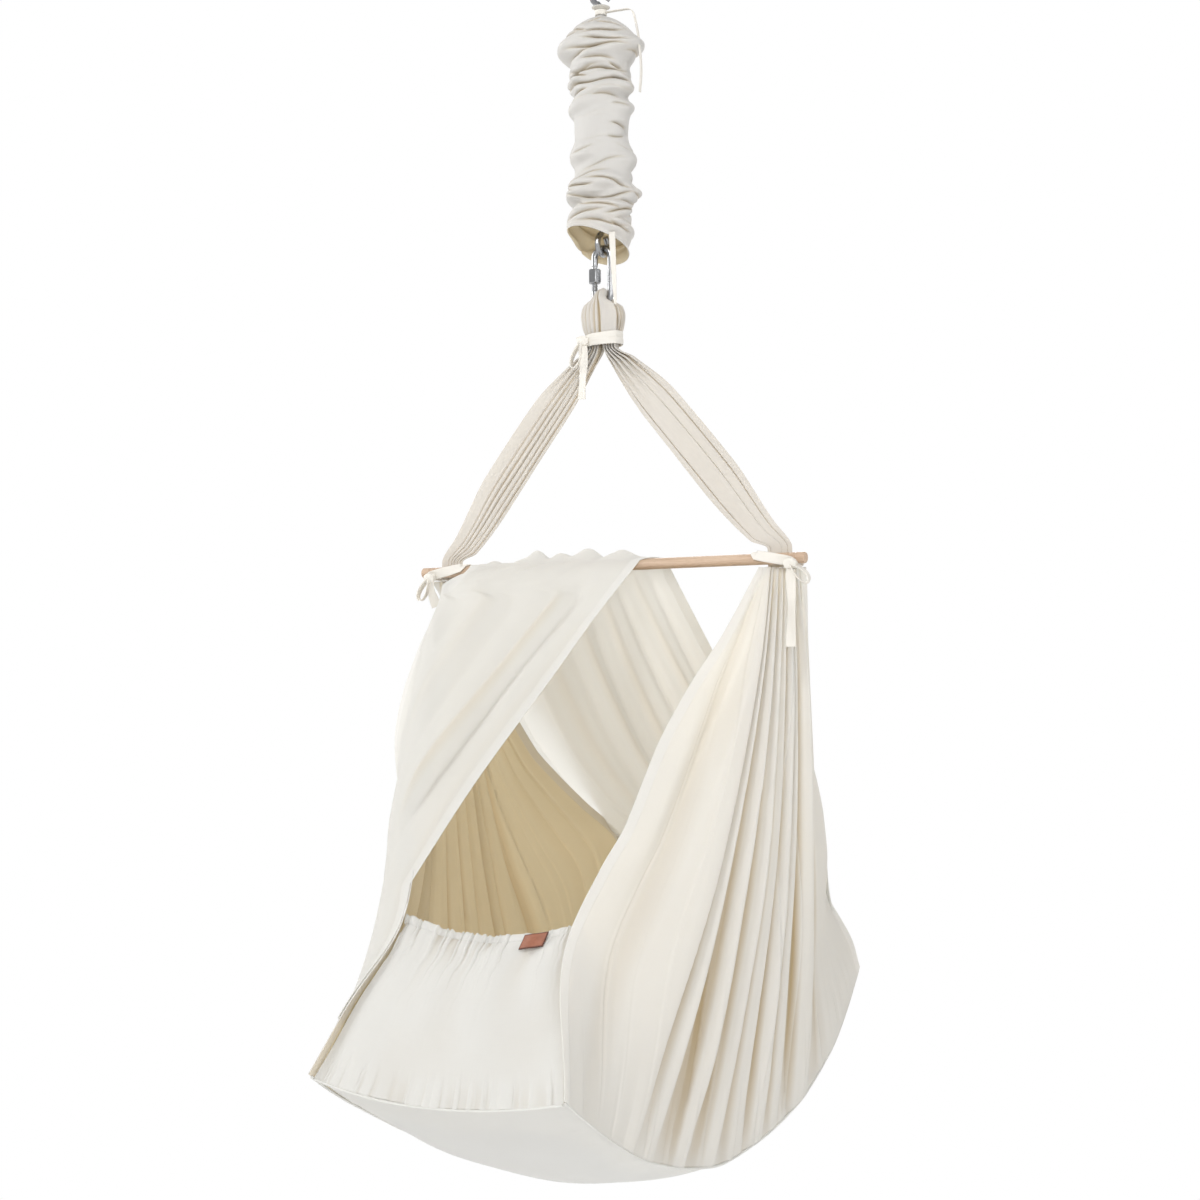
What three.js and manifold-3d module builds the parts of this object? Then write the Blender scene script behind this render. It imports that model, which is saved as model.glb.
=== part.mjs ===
// Hanging baby cradle: a cloth cradle on a spreader bar, a quick link and a covered spring.
// Millimetres, +Z up. The origin is where the upper hook's eye hangs, X runs along the bar,
// the foot panel faces -Y and everything else hangs below.

import * as THREE from 'three';
import { mergeVertices } from 'three/addons/utils/BufferGeometryUtils.js';
import Module from 'manifold-3d';

const wasm = await Module();
wasm.setup();

// Clearances shared by every piece
const seatGap = 0.3;
const cutOverrun = 2;

// Hooks: one bent rod with an eye and a headed shank, the same at both ends of the spring
const hookRod = 7;
const eyeInner = 18;
const shankLength = 54;
const hookHead = { diameter: 16, height: 5 };
const eyeTipGap = 1.3;

// Spring: wire, body and the plugs that close its coned ends
const wire = 5;
const coilDiameter = 36;
const coilPitch = 10;
const springLength = 223;
const plug = { length: 20, small: 12, large: 24, lip: 3 };

// Sleeve over the spring, with the tape that ties its top and the one at its mouth
const sleeve = { radius: 36, length: 307, top: 26, cloth: 1.6, wave: 5, tilt: 4, mouthLift: 26, mouthShare: 0.25 };
const sleeveTopTape = { width: 5, thick: 1.2, tail: 104, ringHeight: 6 };
const sleeveLowTape = { width: 8, tip: 3, thick: 1.2, length: 86, above: 4, placeShare: 0.88 };

// Quick link: an oval of round rod with a screw sleeve over its gap
const link = { rod: 8, length: 74, armSpacing: 21.5, gap: 9, thread: 7.4, threadLength: 14, taper: 1 };
const nut = { acrossFlats: 14, height: 17, bore: 8.2, chamfer: 1 };

// Sling cloth above the bar
const loop = { bunch: 13, width: 46, reach: 12, drop: 56, creaseShare: 0.18 };
const neck = { width: 45, depth: 29.5, height: 14, tape: 1.6, lean: 1.5, cornerShare: 0.6 };
const strap = { drop: 270, cloth: 3, midWidth: 52, fold: 4, root: 12 };

// Spreader bar
const bar = { length: 516, diameter: 13, groove: 1, grooveWidth: 3, grooveInset: 12, grooveStep: 7, chamfer: 1 };

// Where the walls gather under the bar, and the tapes that tie them
const gather = { inset: 55, width: 50, depth: 12, drop: 10 };
const barTie = { tapeWidth: 12, tapeThick: 1.3, slack: 1.4, sweepShare: 2, reachShare: 1.15, inset: 6.5 };
const knot = { width: 17, depth: 9, height: 13 };
const bowPlace = { neckSide: 18, neckFront: 4.45, neckBelow: 2, barInset: 9, barFront: 5.9, barBelow: 0.5, leftShift: 3 };
const bowTape = { width: 12, thick: 1.2 };
const neckTape = { width: 11, thick: 1.2 };
const neckBow = { tail: 70, ear: { length: 34, height: 15, out: 3, angle: -1.9 } };
const rightBow = { tail: 94, ear: { length: 31, height: 15, out: 3, angle: -0.75 } };
const leftBow = { tail: 36, ear: { length: 30, height: 14, out: 3, angle: -2 } };

// Cradle body, measured from the bar's axis
const base = { frontY: 375, rearY: 382, level: 548, rocker: 138, frontHalf: 153, cloth: 2.4 };
const belly = { sag: 34, endSag: 22, frontBulge: 15, rearBulge: 8 };
const wall = { cloth: 2.4, bulge: 14, foldDepth: 8, frontPull: 64, rearPull: 46, rearPush: 57 };
const panel = { cloth: 2.4, height: 153, rearHeight: 166, bow: 6, billow: 12, sag: 16, gathers: 1, gatherCount: 8 };
const elastic = { width: 9, thick: 1.2 };
const label = { width: 31, height: 13.5, thick: 1.4, place: 67, rise: 8, sag: 0.9 };
const pad = { length: 660, width: 236, thick: 34, edge: 9, corner: 60, clearance: 1.2 };

// Canopy cloth thrown over the bar and the left wall
const canopy = {
  cloth: 1.6, barRight: 78, barNear: 50, barLeft: -186, slack: 22, fold: 5, clear: 11, hemBulge: 12,
  joinLevel: 358, endLevel: 495, outerX: 212, outerY: 120, outerLevel: 480, billow: 62, rearSpread: 50,
  wallPlaceShare: 0.1, settleShare: 0.05,
};

// Mesh detail
const steps = { rod: 12, bend: 16, curl: 8, wireSides: 5, round: 32, loopSides: 14, ear: 14, sleeve: 14, panel: 14, base: 10 };

// Colours taken from the look of each material
const finish = {
  cloth: { color: 0xe4e2d8, roughness: 0.95, metalness: 0 },
  sheer: { color: 0xe6e1d2, roughness: 0.95, metalness: 0 },
  tape: { color: 0xe9e6dc, roughness: 0.9, metalness: 0 },
  wood: { color: 0xcdb29b, roughness: 0.6, metalness: 0 },
  steel: { color: 0xa8aaac, roughness: 0.3, metalness: 1 },
  spring: { color: 0x8e9093, roughness: 0.35, metalness: 1 },
  leather: { color: 0xb06a50, roughness: 0.7, metalness: 0 },
  elastic: { color: 0xf0eee8, roughness: 0.9, metalness: 0 },
  pad: { color: 0xefece4, roughness: 0.95, metalness: 0 },
};

// Places worked out from the pieces that hang on each other
const gatherRight = bar.length / 2 - gather.inset;
const eyeRadius = (eyeInner + hookRod) / 2;
const upperHeadZ = -eyeInner / 2 - eyeRadius - shankLength;
const springTopZ = upperHeadZ + hookHead.height + seatGap + plug.length;
const springBottomZ = springTopZ - springLength;
const lowerHeadZ = springBottomZ + plug.length + seatGap + hookHead.height;
const lowerEyeZ = lowerHeadZ - shankLength - eyeRadius;
const linkTopZ = lowerEyeZ - eyeRadius + (hookRod + link.rod) / 2 + seatGap;
const linkBottomZ = linkTopZ - link.length + link.rod;
const barZ = linkBottomZ + (link.rod + loop.bunch) / 2 + seatGap - loop.drop - strap.drop;

// Solid makers

function geometryFrom(vertices, triangles) {
  const geometry = new THREE.BufferGeometry();
  geometry.setAttribute('position', new THREE.Float32BufferAttribute(vertices, 3));
  geometry.setIndex(triangles);
  return facingOut(mergeVertices(geometry, seatGap / 1000));
}

function signedVolume(geometry) {
  const position = geometry.getAttribute('position');
  const index = geometry.getIndex();
  const [a, b, c] = [new THREE.Vector3(), new THREE.Vector3(), new THREE.Vector3()];
  let volume = 0;
  for (let i = 0; i < index.count; i += 3) {
    a.fromBufferAttribute(position, index.getX(i));
    b.fromBufferAttribute(position, index.getX(i + 1));
    c.fromBufferAttribute(position, index.getX(i + 2));
    volume += a.dot(b.cross(c)) / 6;
  }
  return volume;
}

function facingOut(geometry) {
  if (signedVolume(geometry) < 0) {
    const index = geometry.getIndex();
    for (let i = 0; i < index.count; i += 3) {
      const second = index.getX(i + 1);
      index.setX(i + 1, index.getX(i + 2));
      index.setX(i + 2, second);
    }
  }
  return geometry;
}

// A closed sheet of cloth: middle(u, v) is its middle surface, out(u, v) the way it is thick
// and thick(u, v) how thick. A wrapped sheet is a tube that closes in u.
function sheet(columns, rows, middle, out, thick, wrapped = false) {
  const us = Array.isArray(columns) ? columns : spread(columns);
  const vs = Array.isArray(rows) ? rows : spread(rows);
  const count = wrapped ? us.length - 1 : us.length;
  const vertices = [];
  for (const side of [0.5, -0.5]) {
    for (const v of vs) {
      for (let i = 0; i < count; i += 1) {
        const point = middle(us[i], v).addScaledVector(out(us[i], v), side * thick(us[i], v));
        vertices.push(point.x, point.y, point.z);
      }
    }
  }
  const layer = vs.length * count;
  const at = (side, j, i) => side * layer + j * count + (i % count);
  const triangles = [];
  const quad = (a, b, c, d) => triangles.push(a, b, c, a, c, d);
  const cells = us.length - 1;
  for (let j = 0; j + 1 < vs.length; j += 1) {
    for (let i = 0; i < cells; i += 1) {
      quad(at(0, j, i), at(0, j, i + 1), at(0, j + 1, i + 1), at(0, j + 1, i));
      quad(at(1, j, i), at(1, j + 1, i), at(1, j + 1, i + 1), at(1, j, i + 1));
    }
  }
  const last = vs.length - 1;
  for (let i = 0; i < cells; i += 1) {
    quad(at(0, 0, i), at(1, 0, i), at(1, 0, i + 1), at(0, 0, i + 1));
    quad(at(0, last, i), at(0, last, i + 1), at(1, last, i + 1), at(1, last, i));
  }
  if (!wrapped) {
    for (let j = 0; j < last; j += 1) {
      quad(at(0, j, 0), at(0, j + 1, 0), at(1, j + 1, 0), at(1, j, 0));
      quad(at(0, j, cells), at(1, j, cells), at(1, j + 1, cells), at(0, j + 1, cells));
    }
  }
  return geometryFrom(vertices, triangles);
}

function spread(count) {
  return Array.from({ length: count + 1 }, (_, i) => i / count);
}

// A rod or tape along a list of points. section(k, share) gives its corners as [side, lift] pairs
// in the frame that follows the path, which starts from the side direction given.
function rodAlong(points, section, firstSide) {
  const frames = framesAlong(points, firstSide);
  const vertices = [];
  const corners = section(0, 0).length;
  points.forEach((point, k) => {
    for (const [side, lift] of section(k, k / (points.length - 1))) {
      const corner = point.clone().addScaledVector(frames[k].side, side).addScaledVector(frames[k].lift, lift);
      vertices.push(corner.x, corner.y, corner.z);
    }
  });
  const triangles = [];
  for (let k = 0; k + 1 < points.length; k += 1) {
    for (let i = 0; i < corners; i += 1) {
      const next = (i + 1) % corners;
      const low = k * corners;
      const high = low + corners;
      triangles.push(low + i, low + next, high + next, low + i, high + next, high + i);
    }
  }
  const end = (points.length - 1) * corners;
  for (let i = 1; i + 1 < corners; i += 1) {
    triangles.push(0, i + 1, i, end, end + i, end + i + 1);
  }
  return geometryFrom(vertices, triangles);
}

function framesAlong(points, firstSide) {
  let side = firstSide.clone();
  return points.map((point, k) => {
    const before = points[Math.max(k - 1, 0)];
    const after = points[Math.min(k + 1, points.length - 1)];
    const along = after.clone().sub(before).normalize();
    side = side.clone().addScaledVector(along, -side.dot(along)).normalize();
    return { side, lift: new THREE.Vector3().crossVectors(along, side) };
  });
}

function roundSection(radius, sides) {
  return spread(sides).slice(1).map((share) => {
    const angle = 2 * Math.PI * share;
    return [radius * Math.cos(angle), radius * Math.sin(angle)];
  });
}

function tapeSection(width, thick) {
  return [[-width / 2, -thick / 2], [width / 2, -thick / 2], [width / 2, thick / 2], [-width / 2, thick / 2]];
}

function toManifold(geometry) {
  const bare = geometry.clone();
  for (const name of Object.keys(bare.attributes)) {
    if (name !== 'position') bare.deleteAttribute(name);
  }
  const merged = mergeVertices(bare);
  return new wasm.Manifold(new wasm.Mesh({
    numProp: 3,
    vertProperties: new Float32Array(merged.getAttribute('position').array),
    triVerts: new Uint32Array(merged.getIndex().array),
  }));
}

function fromManifold(solid) {
  const mesh = solid.getMesh();
  const geometry = new THREE.BufferGeometry();
  geometry.setAttribute('position', new THREE.Float32BufferAttribute(mesh.vertProperties, 3));
  geometry.setIndex(Array.from(mesh.triVerts));
  return geometry;
}

function turned(profile, sides) {
  const closed = [...profile, profile[0]].map(([radius, z]) => new THREE.Vector2(radius, z));
  const geometry = new THREE.LatheGeometry(closed, sides);
  geometry.deleteAttribute('normal');
  geometry.deleteAttribute('uv');
  geometry.rotateX(Math.PI / 2);
  return facingOut(mergeVertices(geometry, seatGap / 1000));
}

function arcPoints(center, radius, from, to, count, place) {
  return spread(count).map((share) => {
    const angle = from + (to - from) * share;
    return place(center, radius * Math.cos(angle), radius * Math.sin(angle));
  });
}

function node(name, geometry, look) {
  const mesh = new THREE.Mesh(geometry, new THREE.MeshStandardMaterial(look));
  mesh.name = name;
  return mesh;
}

// A smooth curve through places and values that never overshoots between them
function through(places, values, x) {
  const last = places.length - 1;
  if (x <= places[0]) return values[0];
  if (x >= places[last]) return values[last];
  let k = 0;
  while (places[k + 1] < x) k += 1;
  const slope = (i) => (values[i + 1] - values[i]) / (places[i + 1] - places[i]);
  const tangent = (i) => {
    if (i === 0) return slope(0);
    if (i === last) return slope(last - 1);
    const product = slope(i - 1) * slope(i);
    return product <= 0 ? 0 : (2 * product) / (slope(i - 1) + slope(i));
  };
  const span = places[k + 1] - places[k];
  const t = (x - places[k]) / span;
  return (1 + 2 * t) * (1 - t) ** 2 * values[k] + t * (1 - t) ** 2 * span * tangent(k)
    + t * t * (3 - 2 * t) * values[k + 1] + t * t * (t - 1) * span * tangent(k + 1);
}

function lerp(a, b, share) {
  return a + (b - a) * share;
}

// Hooks and plugs

// The rod runs from the head through the plug, then round the eye to just short of its own neck.
// up is +1 when the eye is above the head, -1 below; inXZ says which plane the eye lies in.
function hook(headZ, up, inXZ) {
  const rod = hookRod / 2;
  const eyeZ = headZ + up * (shankLength + eyeRadius);
  const place = (_, across, along) => new THREE.Vector3(
    inXZ ? across : 0, inXZ ? 0 : across, eyeZ - up * along);
  const opening = 2 * Math.asin((hookRod + eyeTipGap) / (2 * eyeRadius));
  const start = Math.PI / 2;
  const eye = arcPoints(null, eyeRadius, start + opening / 2, start + 2 * Math.PI - opening, steps.bend, place);
  const neckStart = new THREE.Vector3(0, 0, headZ + up * hookHead.height / 2);
  const neckEnd = new THREE.Vector3(0, 0, headZ + up * (shankLength - rod));
  const side = inXZ ? new THREE.Vector3(0, 1, 0) : new THREE.Vector3(1, 0, 0);
  const bent = rodAlong([neckStart, neckEnd, ...eye], () => roundSection(rod, steps.rod), side);
  const head = turned([
    [0, headZ], [hookHead.diameter / 2, headZ],
    [hookHead.diameter / 2, headZ + up * hookHead.height], [0, headZ + up * hookHead.height],
  ], steps.round);
  return fromManifold(toManifold(bent).add(toManifold(head)));
}

// A bored cone that the spring's last curls close on. Its small end points at the hook.
function springPlug(smallZ, up) {
  const bore = hookRod / 2 + seatGap;
  const largeZ = smallZ - up * plug.length;
  return turned([
    [bore, smallZ], [plug.small / 2, smallZ], [plug.large / 2, largeZ + up * plug.lip],
    [plug.large / 2, largeZ], [bore, largeZ],
  ], steps.round);
}

// Spring

function springRadius(z) {
  const coneTop = (springTopZ - z) / plug.length;
  const coneBottom = (z - springBottomZ) / plug.length;
  const closeness = Math.min(coneTop, coneBottom, 1);
  const small = plug.small / 2 + wire / 2 + 3 * seatGap;
  return lerp(small, coilDiameter / 2, Math.max(closeness, 0));
}

function springCurve() {
  const top = springTopZ - wire / 2;
  const bottom = springBottomZ + wire / 2;
  const curls = (top - bottom) / coilPitch;
  const count = Math.round(curls * steps.curl);
  return spread(count).map((share) => {
    const angle = 2 * Math.PI * curls * share;
    const z = lerp(top, bottom, share);
    const radius = springRadius(z);
    return new THREE.Vector3(radius * Math.cos(angle), radius * Math.sin(angle), z);
  });
}

function leastSelfGap(points, curlSteps, diameter) {
  let least = Infinity;
  for (let i = 0; i < points.length; i += 1) {
    for (let j = i + Math.floor(curlSteps / 2); j < Math.min(i + 2 * curlSteps, points.length); j += 1) {
      least = Math.min(least, points[i].distanceTo(points[j]));
    }
  }
  return least - diameter;
}

function spring() {
  const points = springCurve();
  console.log(`spring: least gap between curls ${leastSelfGap(points, steps.curl, wire).toFixed(2)} mm`);
  return rodAlong(points, () => roundSection(wire / 2, steps.wireSides), new THREE.Vector3(0, 0, 1));
}

// Sleeve over the spring: tied at its top, bunched near both ends and open at the bottom

const sleevePlaceShares = [0, 0.01, 0.036, 0.05, 0.072, 0.124, 0.173, 0.215, 0.251, 0.287, 0.339, 0.371, 0.407,
  0.453, 0.606, 0.642, 0.7, 0.749, 0.805, 0.86, 0.9, 0.941, 1];
const sleeveRadiusShares = [0.3, 0.13, 0.13, 0.2, 0.45, 1, 1.27, 1.12, 1, 0.93, 1.06, 0.92, 1,
  0.92, 1, 0.92, 1.06, 1.06, 0.92, 1.06, 1, 0.92, 0.86];
const sleeveWaveShares = [0, 0, 0, 0, 0.1, 0.5, 1, 0.8, 0.6, 0.5, 0.9, 0.5, 0.6,
  0.2, 0.4, 0.5, 0.9, 0.8, 0.5, 1, 0.4, 0.1, 0];
const tieShare = (sleevePlaceShares[1] + sleevePlaceShares[2]) / 2;

function sleeveMiddle(u, k) {
  const angle = 2 * Math.PI * u;
  const wave = sleeve.wave * sleeveWaveShares[k] * Math.cos(2 * angle + 2 * k);
  const radius = sleeve.radius * sleeveRadiusShares[k] + wave;
  const tilt = sleeve.tilt * sleeveWaveShares[k] * Math.cos(angle + k);
  return new THREE.Vector3(radius * Math.cos(angle), radius * Math.sin(angle),
    -sleeve.top - sleeve.length * sleevePlaceShares[k] + tilt + mouthRise(u, sleevePlaceShares[k]));
}

// The mouth hangs open to the front: its rim is higher there
function mouthRise(u, place) {
  const low = Math.max(0, 1 - (1 - place) / sleeve.mouthShare);
  return sleeve.mouthLift * low * (1 - radial(u).y) / 2;
}

function radial(u) {
  const angle = 2 * Math.PI * u;
  return new THREE.Vector3(Math.cos(angle), Math.sin(angle), 0);
}

function springSleeve() {
  const rings = sleevePlaceShares.map((_, k) => k);
  return sheet(steps.sleeve, rings, sleeveMiddle, radial, () => sleeve.cloth, true);
}

// Tape tied round the neck of the sleeve; its end runs out over the bunch and hangs at the right
const topTailOutShares = [0.06, 0.4, 0.47, 0.51, 0.53, 0.51];
const topTailDownShares = [0, 0.03, 0.2, 0.45, 0.75, 1];

function sleeveTie() {
  const middleZ = -sleeve.top - sleeve.length * tieShare;
  const neckRadius = sleeve.radius * sleeveRadiusShares[1] + (sleeve.cloth + sleeveTopTape.thick) / 2 + seatGap;
  const ring = sheet(steps.sleeve, 1, (u, v) => radial(u).multiplyScalar(neckRadius)
    .setZ(middleZ + sleeveTopTape.ringHeight * (v - 0.5)), radial, () => sleeveTopTape.thick, true);
  const points = topTailOutShares.map((share, k) => new THREE.Vector3(
    sleeveTopTape.tail * share, 0, middleZ - sleeveTopTape.tail * topTailDownShares[k]));
  const tail = rodAlong(points, () => tapeSection(sleeveTopTape.width, sleeveTopTape.thick),
    new THREE.Vector3(0, 1, 0));
  return fromManifold(toManifold(ring).add(toManifold(tail)));
}

const mouthRow = sleevePlaceShares.length - 2;

function sleeveMouthTape() {
  const topZ = -sleeve.top - sleeve.length + mouthRise(sleeveLowTape.placeShare, 1) + sleeveLowTape.above;
  const outside = sleeve.radius * sleeveRadiusShares[mouthRow] + sleeve.wave * sleeveWaveShares[mouthRow]
    + (sleeve.cloth + sleeveLowTape.thick) / 2 + seatGap;
  const start = radial(sleeveLowTape.placeShare).multiplyScalar(outside);
  const points = spread(4).map((share) => new THREE.Vector3(
    start.x + sleeveLowTape.width * share / 2, start.y, topZ - sleeveLowTape.length * share));
  const section = (_, share) => tapeSection(lerp(sleeveLowTape.width, sleeveLowTape.tip, share), sleeveLowTape.thick);
  return rodAlong(points, section, new THREE.Vector3(1, 0, 0));
}

// Quick link

function linkPath() {
  const half = link.armSpacing / 2;
  const topZ = linkTopZ - half;
  const bottomZ = linkBottomZ + half;
  const gapMiddle = (linkTopZ + linkBottomZ) / 2;
  const place = (z, across, along) => new THREE.Vector3(across, 0, z + along);
  const upperBow = arcPoints(topZ, half, Math.PI, 0, steps.bend, place);
  const lowerBow = arcPoints(bottomZ, half, 0, -Math.PI, steps.bend, place);
  const armPoint = (z) => new THREE.Vector3(-half, 0, z);
  const gapTop = gapMiddle + link.gap / 2;
  const gapBottom = gapMiddle - link.gap / 2;
  const threadTop = gapTop + link.threadLength / 2;
  const threadBottom = gapBottom - link.threadLength;
  return {
    gapMiddle,
    points: [armPoint(gapTop), armPoint(threadTop), armPoint(threadTop + link.taper), ...upperBow, ...lowerBow,
      armPoint(threadBottom - link.taper), armPoint(threadBottom), armPoint(gapBottom)],
  };
}

function quickLink() {
  const { points } = linkPath();
  const last = points.length - 1;
  const thin = (k) => k < 2 || k > last - 2;
  return rodAlong(points, (k) => roundSection((thin(k) ? link.thread : link.rod) / 2, steps.rod),
    new THREE.Vector3(0, 1, 0));
}

function linkNut() {
  const { gapMiddle } = linkPath();
  const height = nut.height;
  const shape = new THREE.Shape(spread(6).slice(1).map((share) => {
    const angle = 2 * Math.PI * share;
    const corner = nut.acrossFlats / Math.sqrt(3);
    return new THREE.Vector2(corner * Math.cos(angle), corner * Math.sin(angle));
  }));
  const hexagon = new THREE.ExtrudeGeometry(shape, { depth: height, bevelEnabled: false });
  const corner = nut.acrossFlats / Math.sqrt(3);
  const rounding = turned([
    [0, 0], [corner - nut.chamfer, 0], [corner, nut.chamfer], [corner, height - nut.chamfer],
    [corner - nut.chamfer, height], [0, height],
  ], steps.round);
  const bore = turned([
    [0, -cutOverrun], [nut.bore / 2, -cutOverrun], [nut.bore / 2, height + cutOverrun], [0, height + cutOverrun],
  ], steps.round);
  const solid = toManifold(hexagon).intersect(toManifold(rounding)).subtract(toManifold(bore));
  const geometry = fromManifold(solid);
  geometry.translate(-link.armSpacing / 2, 0, gapMiddle - height / 2);
  return geometry;
}

// Sling loop: one bunch of cloth over the link's bottom bow, fanning out in front and behind

const loopReachShares = [0, 0.5, 0.9, 1, 0.95, 0.8, 0.56, 0.56];
const loopDropShares = [0, 0.03, 0.14, 0.28, 0.5, 0.74, 0.93, 1];
const loopWidthShares = [0.26, 0.27, 0.42, 0.85, 1, 0.95, 0.84, 0.84];
const loopThickShares = [1, 0.86, 0.68, 0.5, 0.44, 0.55, 0.86, 0.86];
const loopCreaseShares = [0, 0, 0.3, 0.8, 1, 0.8, 0.2, 0];

function slingLoop() {
  const topZ = linkBottomZ - barZ + link.rod / 2 + seatGap + loop.bunch / 2;
  const drop = topZ - strap.drop;
  const half = loopDropShares.map((share, k) => (
    { reach: loop.reach * loopReachShares[k], z: topZ - drop * share, k }));
  const rings = [...half.slice(1).reverse().map((ring) => ({ ...ring, reach: -ring.reach })), ...half];
  const points = rings.map((ring) => new THREE.Vector3(0, ring.reach, ring.z));
  const section = (index) => {
    const { k } = rings[index];
    const wide = (loop.width * loopWidthShares[k]) / 2;
    const deep = (loop.bunch * loopThickShares[k]) / 2;
    return spread(steps.loopSides).slice(1).map((share, i) => {
      const angle = 2 * Math.PI * share;
      const crease = 1 - (i % 2) * loop.creaseShare * loopCreaseShares[k];
      return [wide * Math.cos(angle), deep * crease * Math.sin(angle)];
    });
  };
  return rodAlong(points, section, new THREE.Vector3(1, 0, 0));
}

function neckTie() {
  const wide = neck.width / 2;
  const deep = neck.depth / 2;
  const middle = (u, v) => {
    const angle = 2 * Math.PI * u;
    const squared = (value) => Math.sign(value) * Math.abs(value) ** neck.cornerShare;
    return new THREE.Vector3(wide * squared(Math.cos(angle)), deep * squared(Math.sin(angle)),
      strap.drop + neck.height * (v - 0.5) + neck.lean * Math.cos(angle));
  };
  return sheet(24, 2, middle, radial, () => neck.tape, true);
}

// A knot with a hanging tail and a loop of the same flat tape, facing the front
function bow(knot, knotSize, tape, tail, ear) {
  const center = new THREE.Vector3(...knot);
  const lump = new THREE.SphereGeometry(0.5, 12, 8);
  lump.scale(...knotSize);
  lump.translate(...knot);
  const flat = () => tapeSection(tape.width, tape.thick);
  const hang = (reach) => tail.wayShares.map(([side, out, down]) => center.clone()
    .add(new THREE.Vector3(side * reach, -out * reach, -down * reach)));
  const tailSolid = toManifold(rodAlong(hang(tail.length), flat, new THREE.Vector3(1, 0, 0)));
  const earPoints = spread(steps.ear).map((share) => {
    const angle = 2 * Math.PI * share;
    const along = (1 - Math.cos(angle)) / 2;
    const off = (Math.sin(angle) * ear.height * Math.sin(Math.PI * share)) / 2;
    return center.clone().add(new THREE.Vector3(
      ear.length * along * Math.cos(ear.angle) - off * Math.sin(ear.angle),
      -ear.out * along,
      ear.length * along * Math.sin(ear.angle) + off * Math.cos(ear.angle)));
  });
  const earSolid = toManifold(rodAlong(earPoints, flat, new THREE.Vector3(0, 1, 0)));
  return fromManifold(toManifold(lump).add(tailSolid).add(earSolid));
}

// Straps from the neck tie out and down behind the bar. v runs down the strap, u across it

const strapDownShares = [0, 0.028, 0.1, 0.3, 0.6, 0.85, 0.92, 1];
const strapOutShares = [0.045, 0.045, 0.12, 0.338, 0.64, 0.88, 0.972, 0.974];
const strapWidthShares = [0.35, 0.35, 0.58, 0.96, 1, 0.72, 0.58, 0.58];
const strapTurnShares = [0, 0, 0.55, 1, 1, 0.8, 0.1, 0];
const strapBackShares = [0, 0, 0, 0.02, 0.3, 0.88, 1, 1];
const strapFoldShares = [0, 0, 0.4, 0.9, 1, 0.5, 0.4, 0.4];
const strapThickShares = [1, 1, 0.3, 0, 0, 0, 0, 0];
const strapRippleShares = [-0.3, 0.9, -0.2, -1, 0.5, -0.8, 0.9, 0.1, -0.6, 0.7];
const strapRows = [0, 0.028, 0.07, 0.12, 0.22, 0.36, 0.52, 0.68, 0.85, 0.92, 1];

function strapMiddle(u, v) {
  const at = (shares) => through(strapDownShares, shares, v);
  const behind = bar.diameter / 2 + strap.cloth / 2 + strap.fold * strapFoldShares[7] + seatGap;
  const across = strap.midWidth * at(strapWidthShares) * (u - 0.5);
  const turn = Math.atan2(gatherRight, strap.drop) * at(strapTurnShares);
  const index = Math.round(u * (strapRippleShares.length - 1));
  const fold = strap.fold * at(strapFoldShares) * strapRippleShares[index];
  return new THREE.Vector3(
    (gatherRight + gather.width / 2) * at(strapOutShares) + across * Math.cos(turn),
    behind * at(strapBackShares) + fold,
    lerp(strap.drop - seatGap, -gather.drop + 2 * seatGap, v) + across * Math.sin(turn));
}

function rightStrap() {
  const thick = (u, v) => strap.cloth + strap.root * through(strapDownShares, strapThickShares, v);
  return sheet(strapRippleShares.length - 1, strapRows, strapMiddle, () => new THREE.Vector3(0, 1, 0), thick);
}

function mirrored(geometry) {
  geometry.scale(-1, 1, 1);
  return facingOut(geometry);
}

// Spreader bar with two grooves near each end

function spreaderBar() {
  const radius = bar.diameter / 2;
  const half = bar.length / 2;
  const end = (sign) => {
    const groove = (place) => [
      [radius, sign * (half - place + bar.grooveWidth / 2)],
      [radius - bar.groove, sign * (half - place)],
      [radius, sign * (half - place - bar.grooveWidth / 2)],
    ];
    const points = [
      [radius - bar.chamfer, sign * half], [radius, sign * (half - bar.chamfer)],
      ...groove(bar.grooveInset), ...groove(bar.grooveInset + bar.grooveStep),
    ];
    return sign > 0 ? points.reverse() : points;
  };
  const bar3d = turned([[0, -half], ...end(-1), ...end(1), [0, half]], steps.round);
  bar3d.rotateY(Math.PI / 2);
  return bar3d;
}

// The tape that ties the cloth to the bar: over the bar inside the strap, down across the front,
// under the bar beyond the strap and back up behind it
function barTieMiddle(u, v) {
  const angle = 2 * Math.PI * u;
  const room = bar.diameter / 2 + seatGap + barTie.tapeThick / 2;
  const rearRoom = 2 * (strap.fold * strapFoldShares[7] + 2 * seatGap) + strap.cloth + room;
  const centerY = (rearRoom - room) / 2 + seatGap;
  const deep = (rearRoom + room) / 2 + barTie.slack;
  const sweep = Math.max(-1, Math.min(1, barTie.sweepShare * Math.sin(angle)));
  const reach = (gather.width * strapWidthShares[7] * barTie.reachShare) / 2 + barTie.tapeWidth / 2;
  const middleX = gatherRight + gather.width / 2 - barTie.inset;
  const along = new THREE.Vector3(
    -reach * barTie.sweepShare * Math.cos(angle) * (Math.abs(sweep) < 1 ? 1 : 0),
    -deep * Math.sin(angle), (room + barTie.slack) * Math.cos(angle));
  const outward = new THREE.Vector3(0, Math.cos(angle), Math.sin(angle));
  const width = along.cross(outward).normalize();
  return new THREE.Vector3(middleX - reach * sweep, centerY + deep * Math.cos(angle),
    (room + barTie.slack) * Math.sin(angle)).addScaledVector(width, barTie.tapeWidth * (v - 0.5));
}

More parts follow.
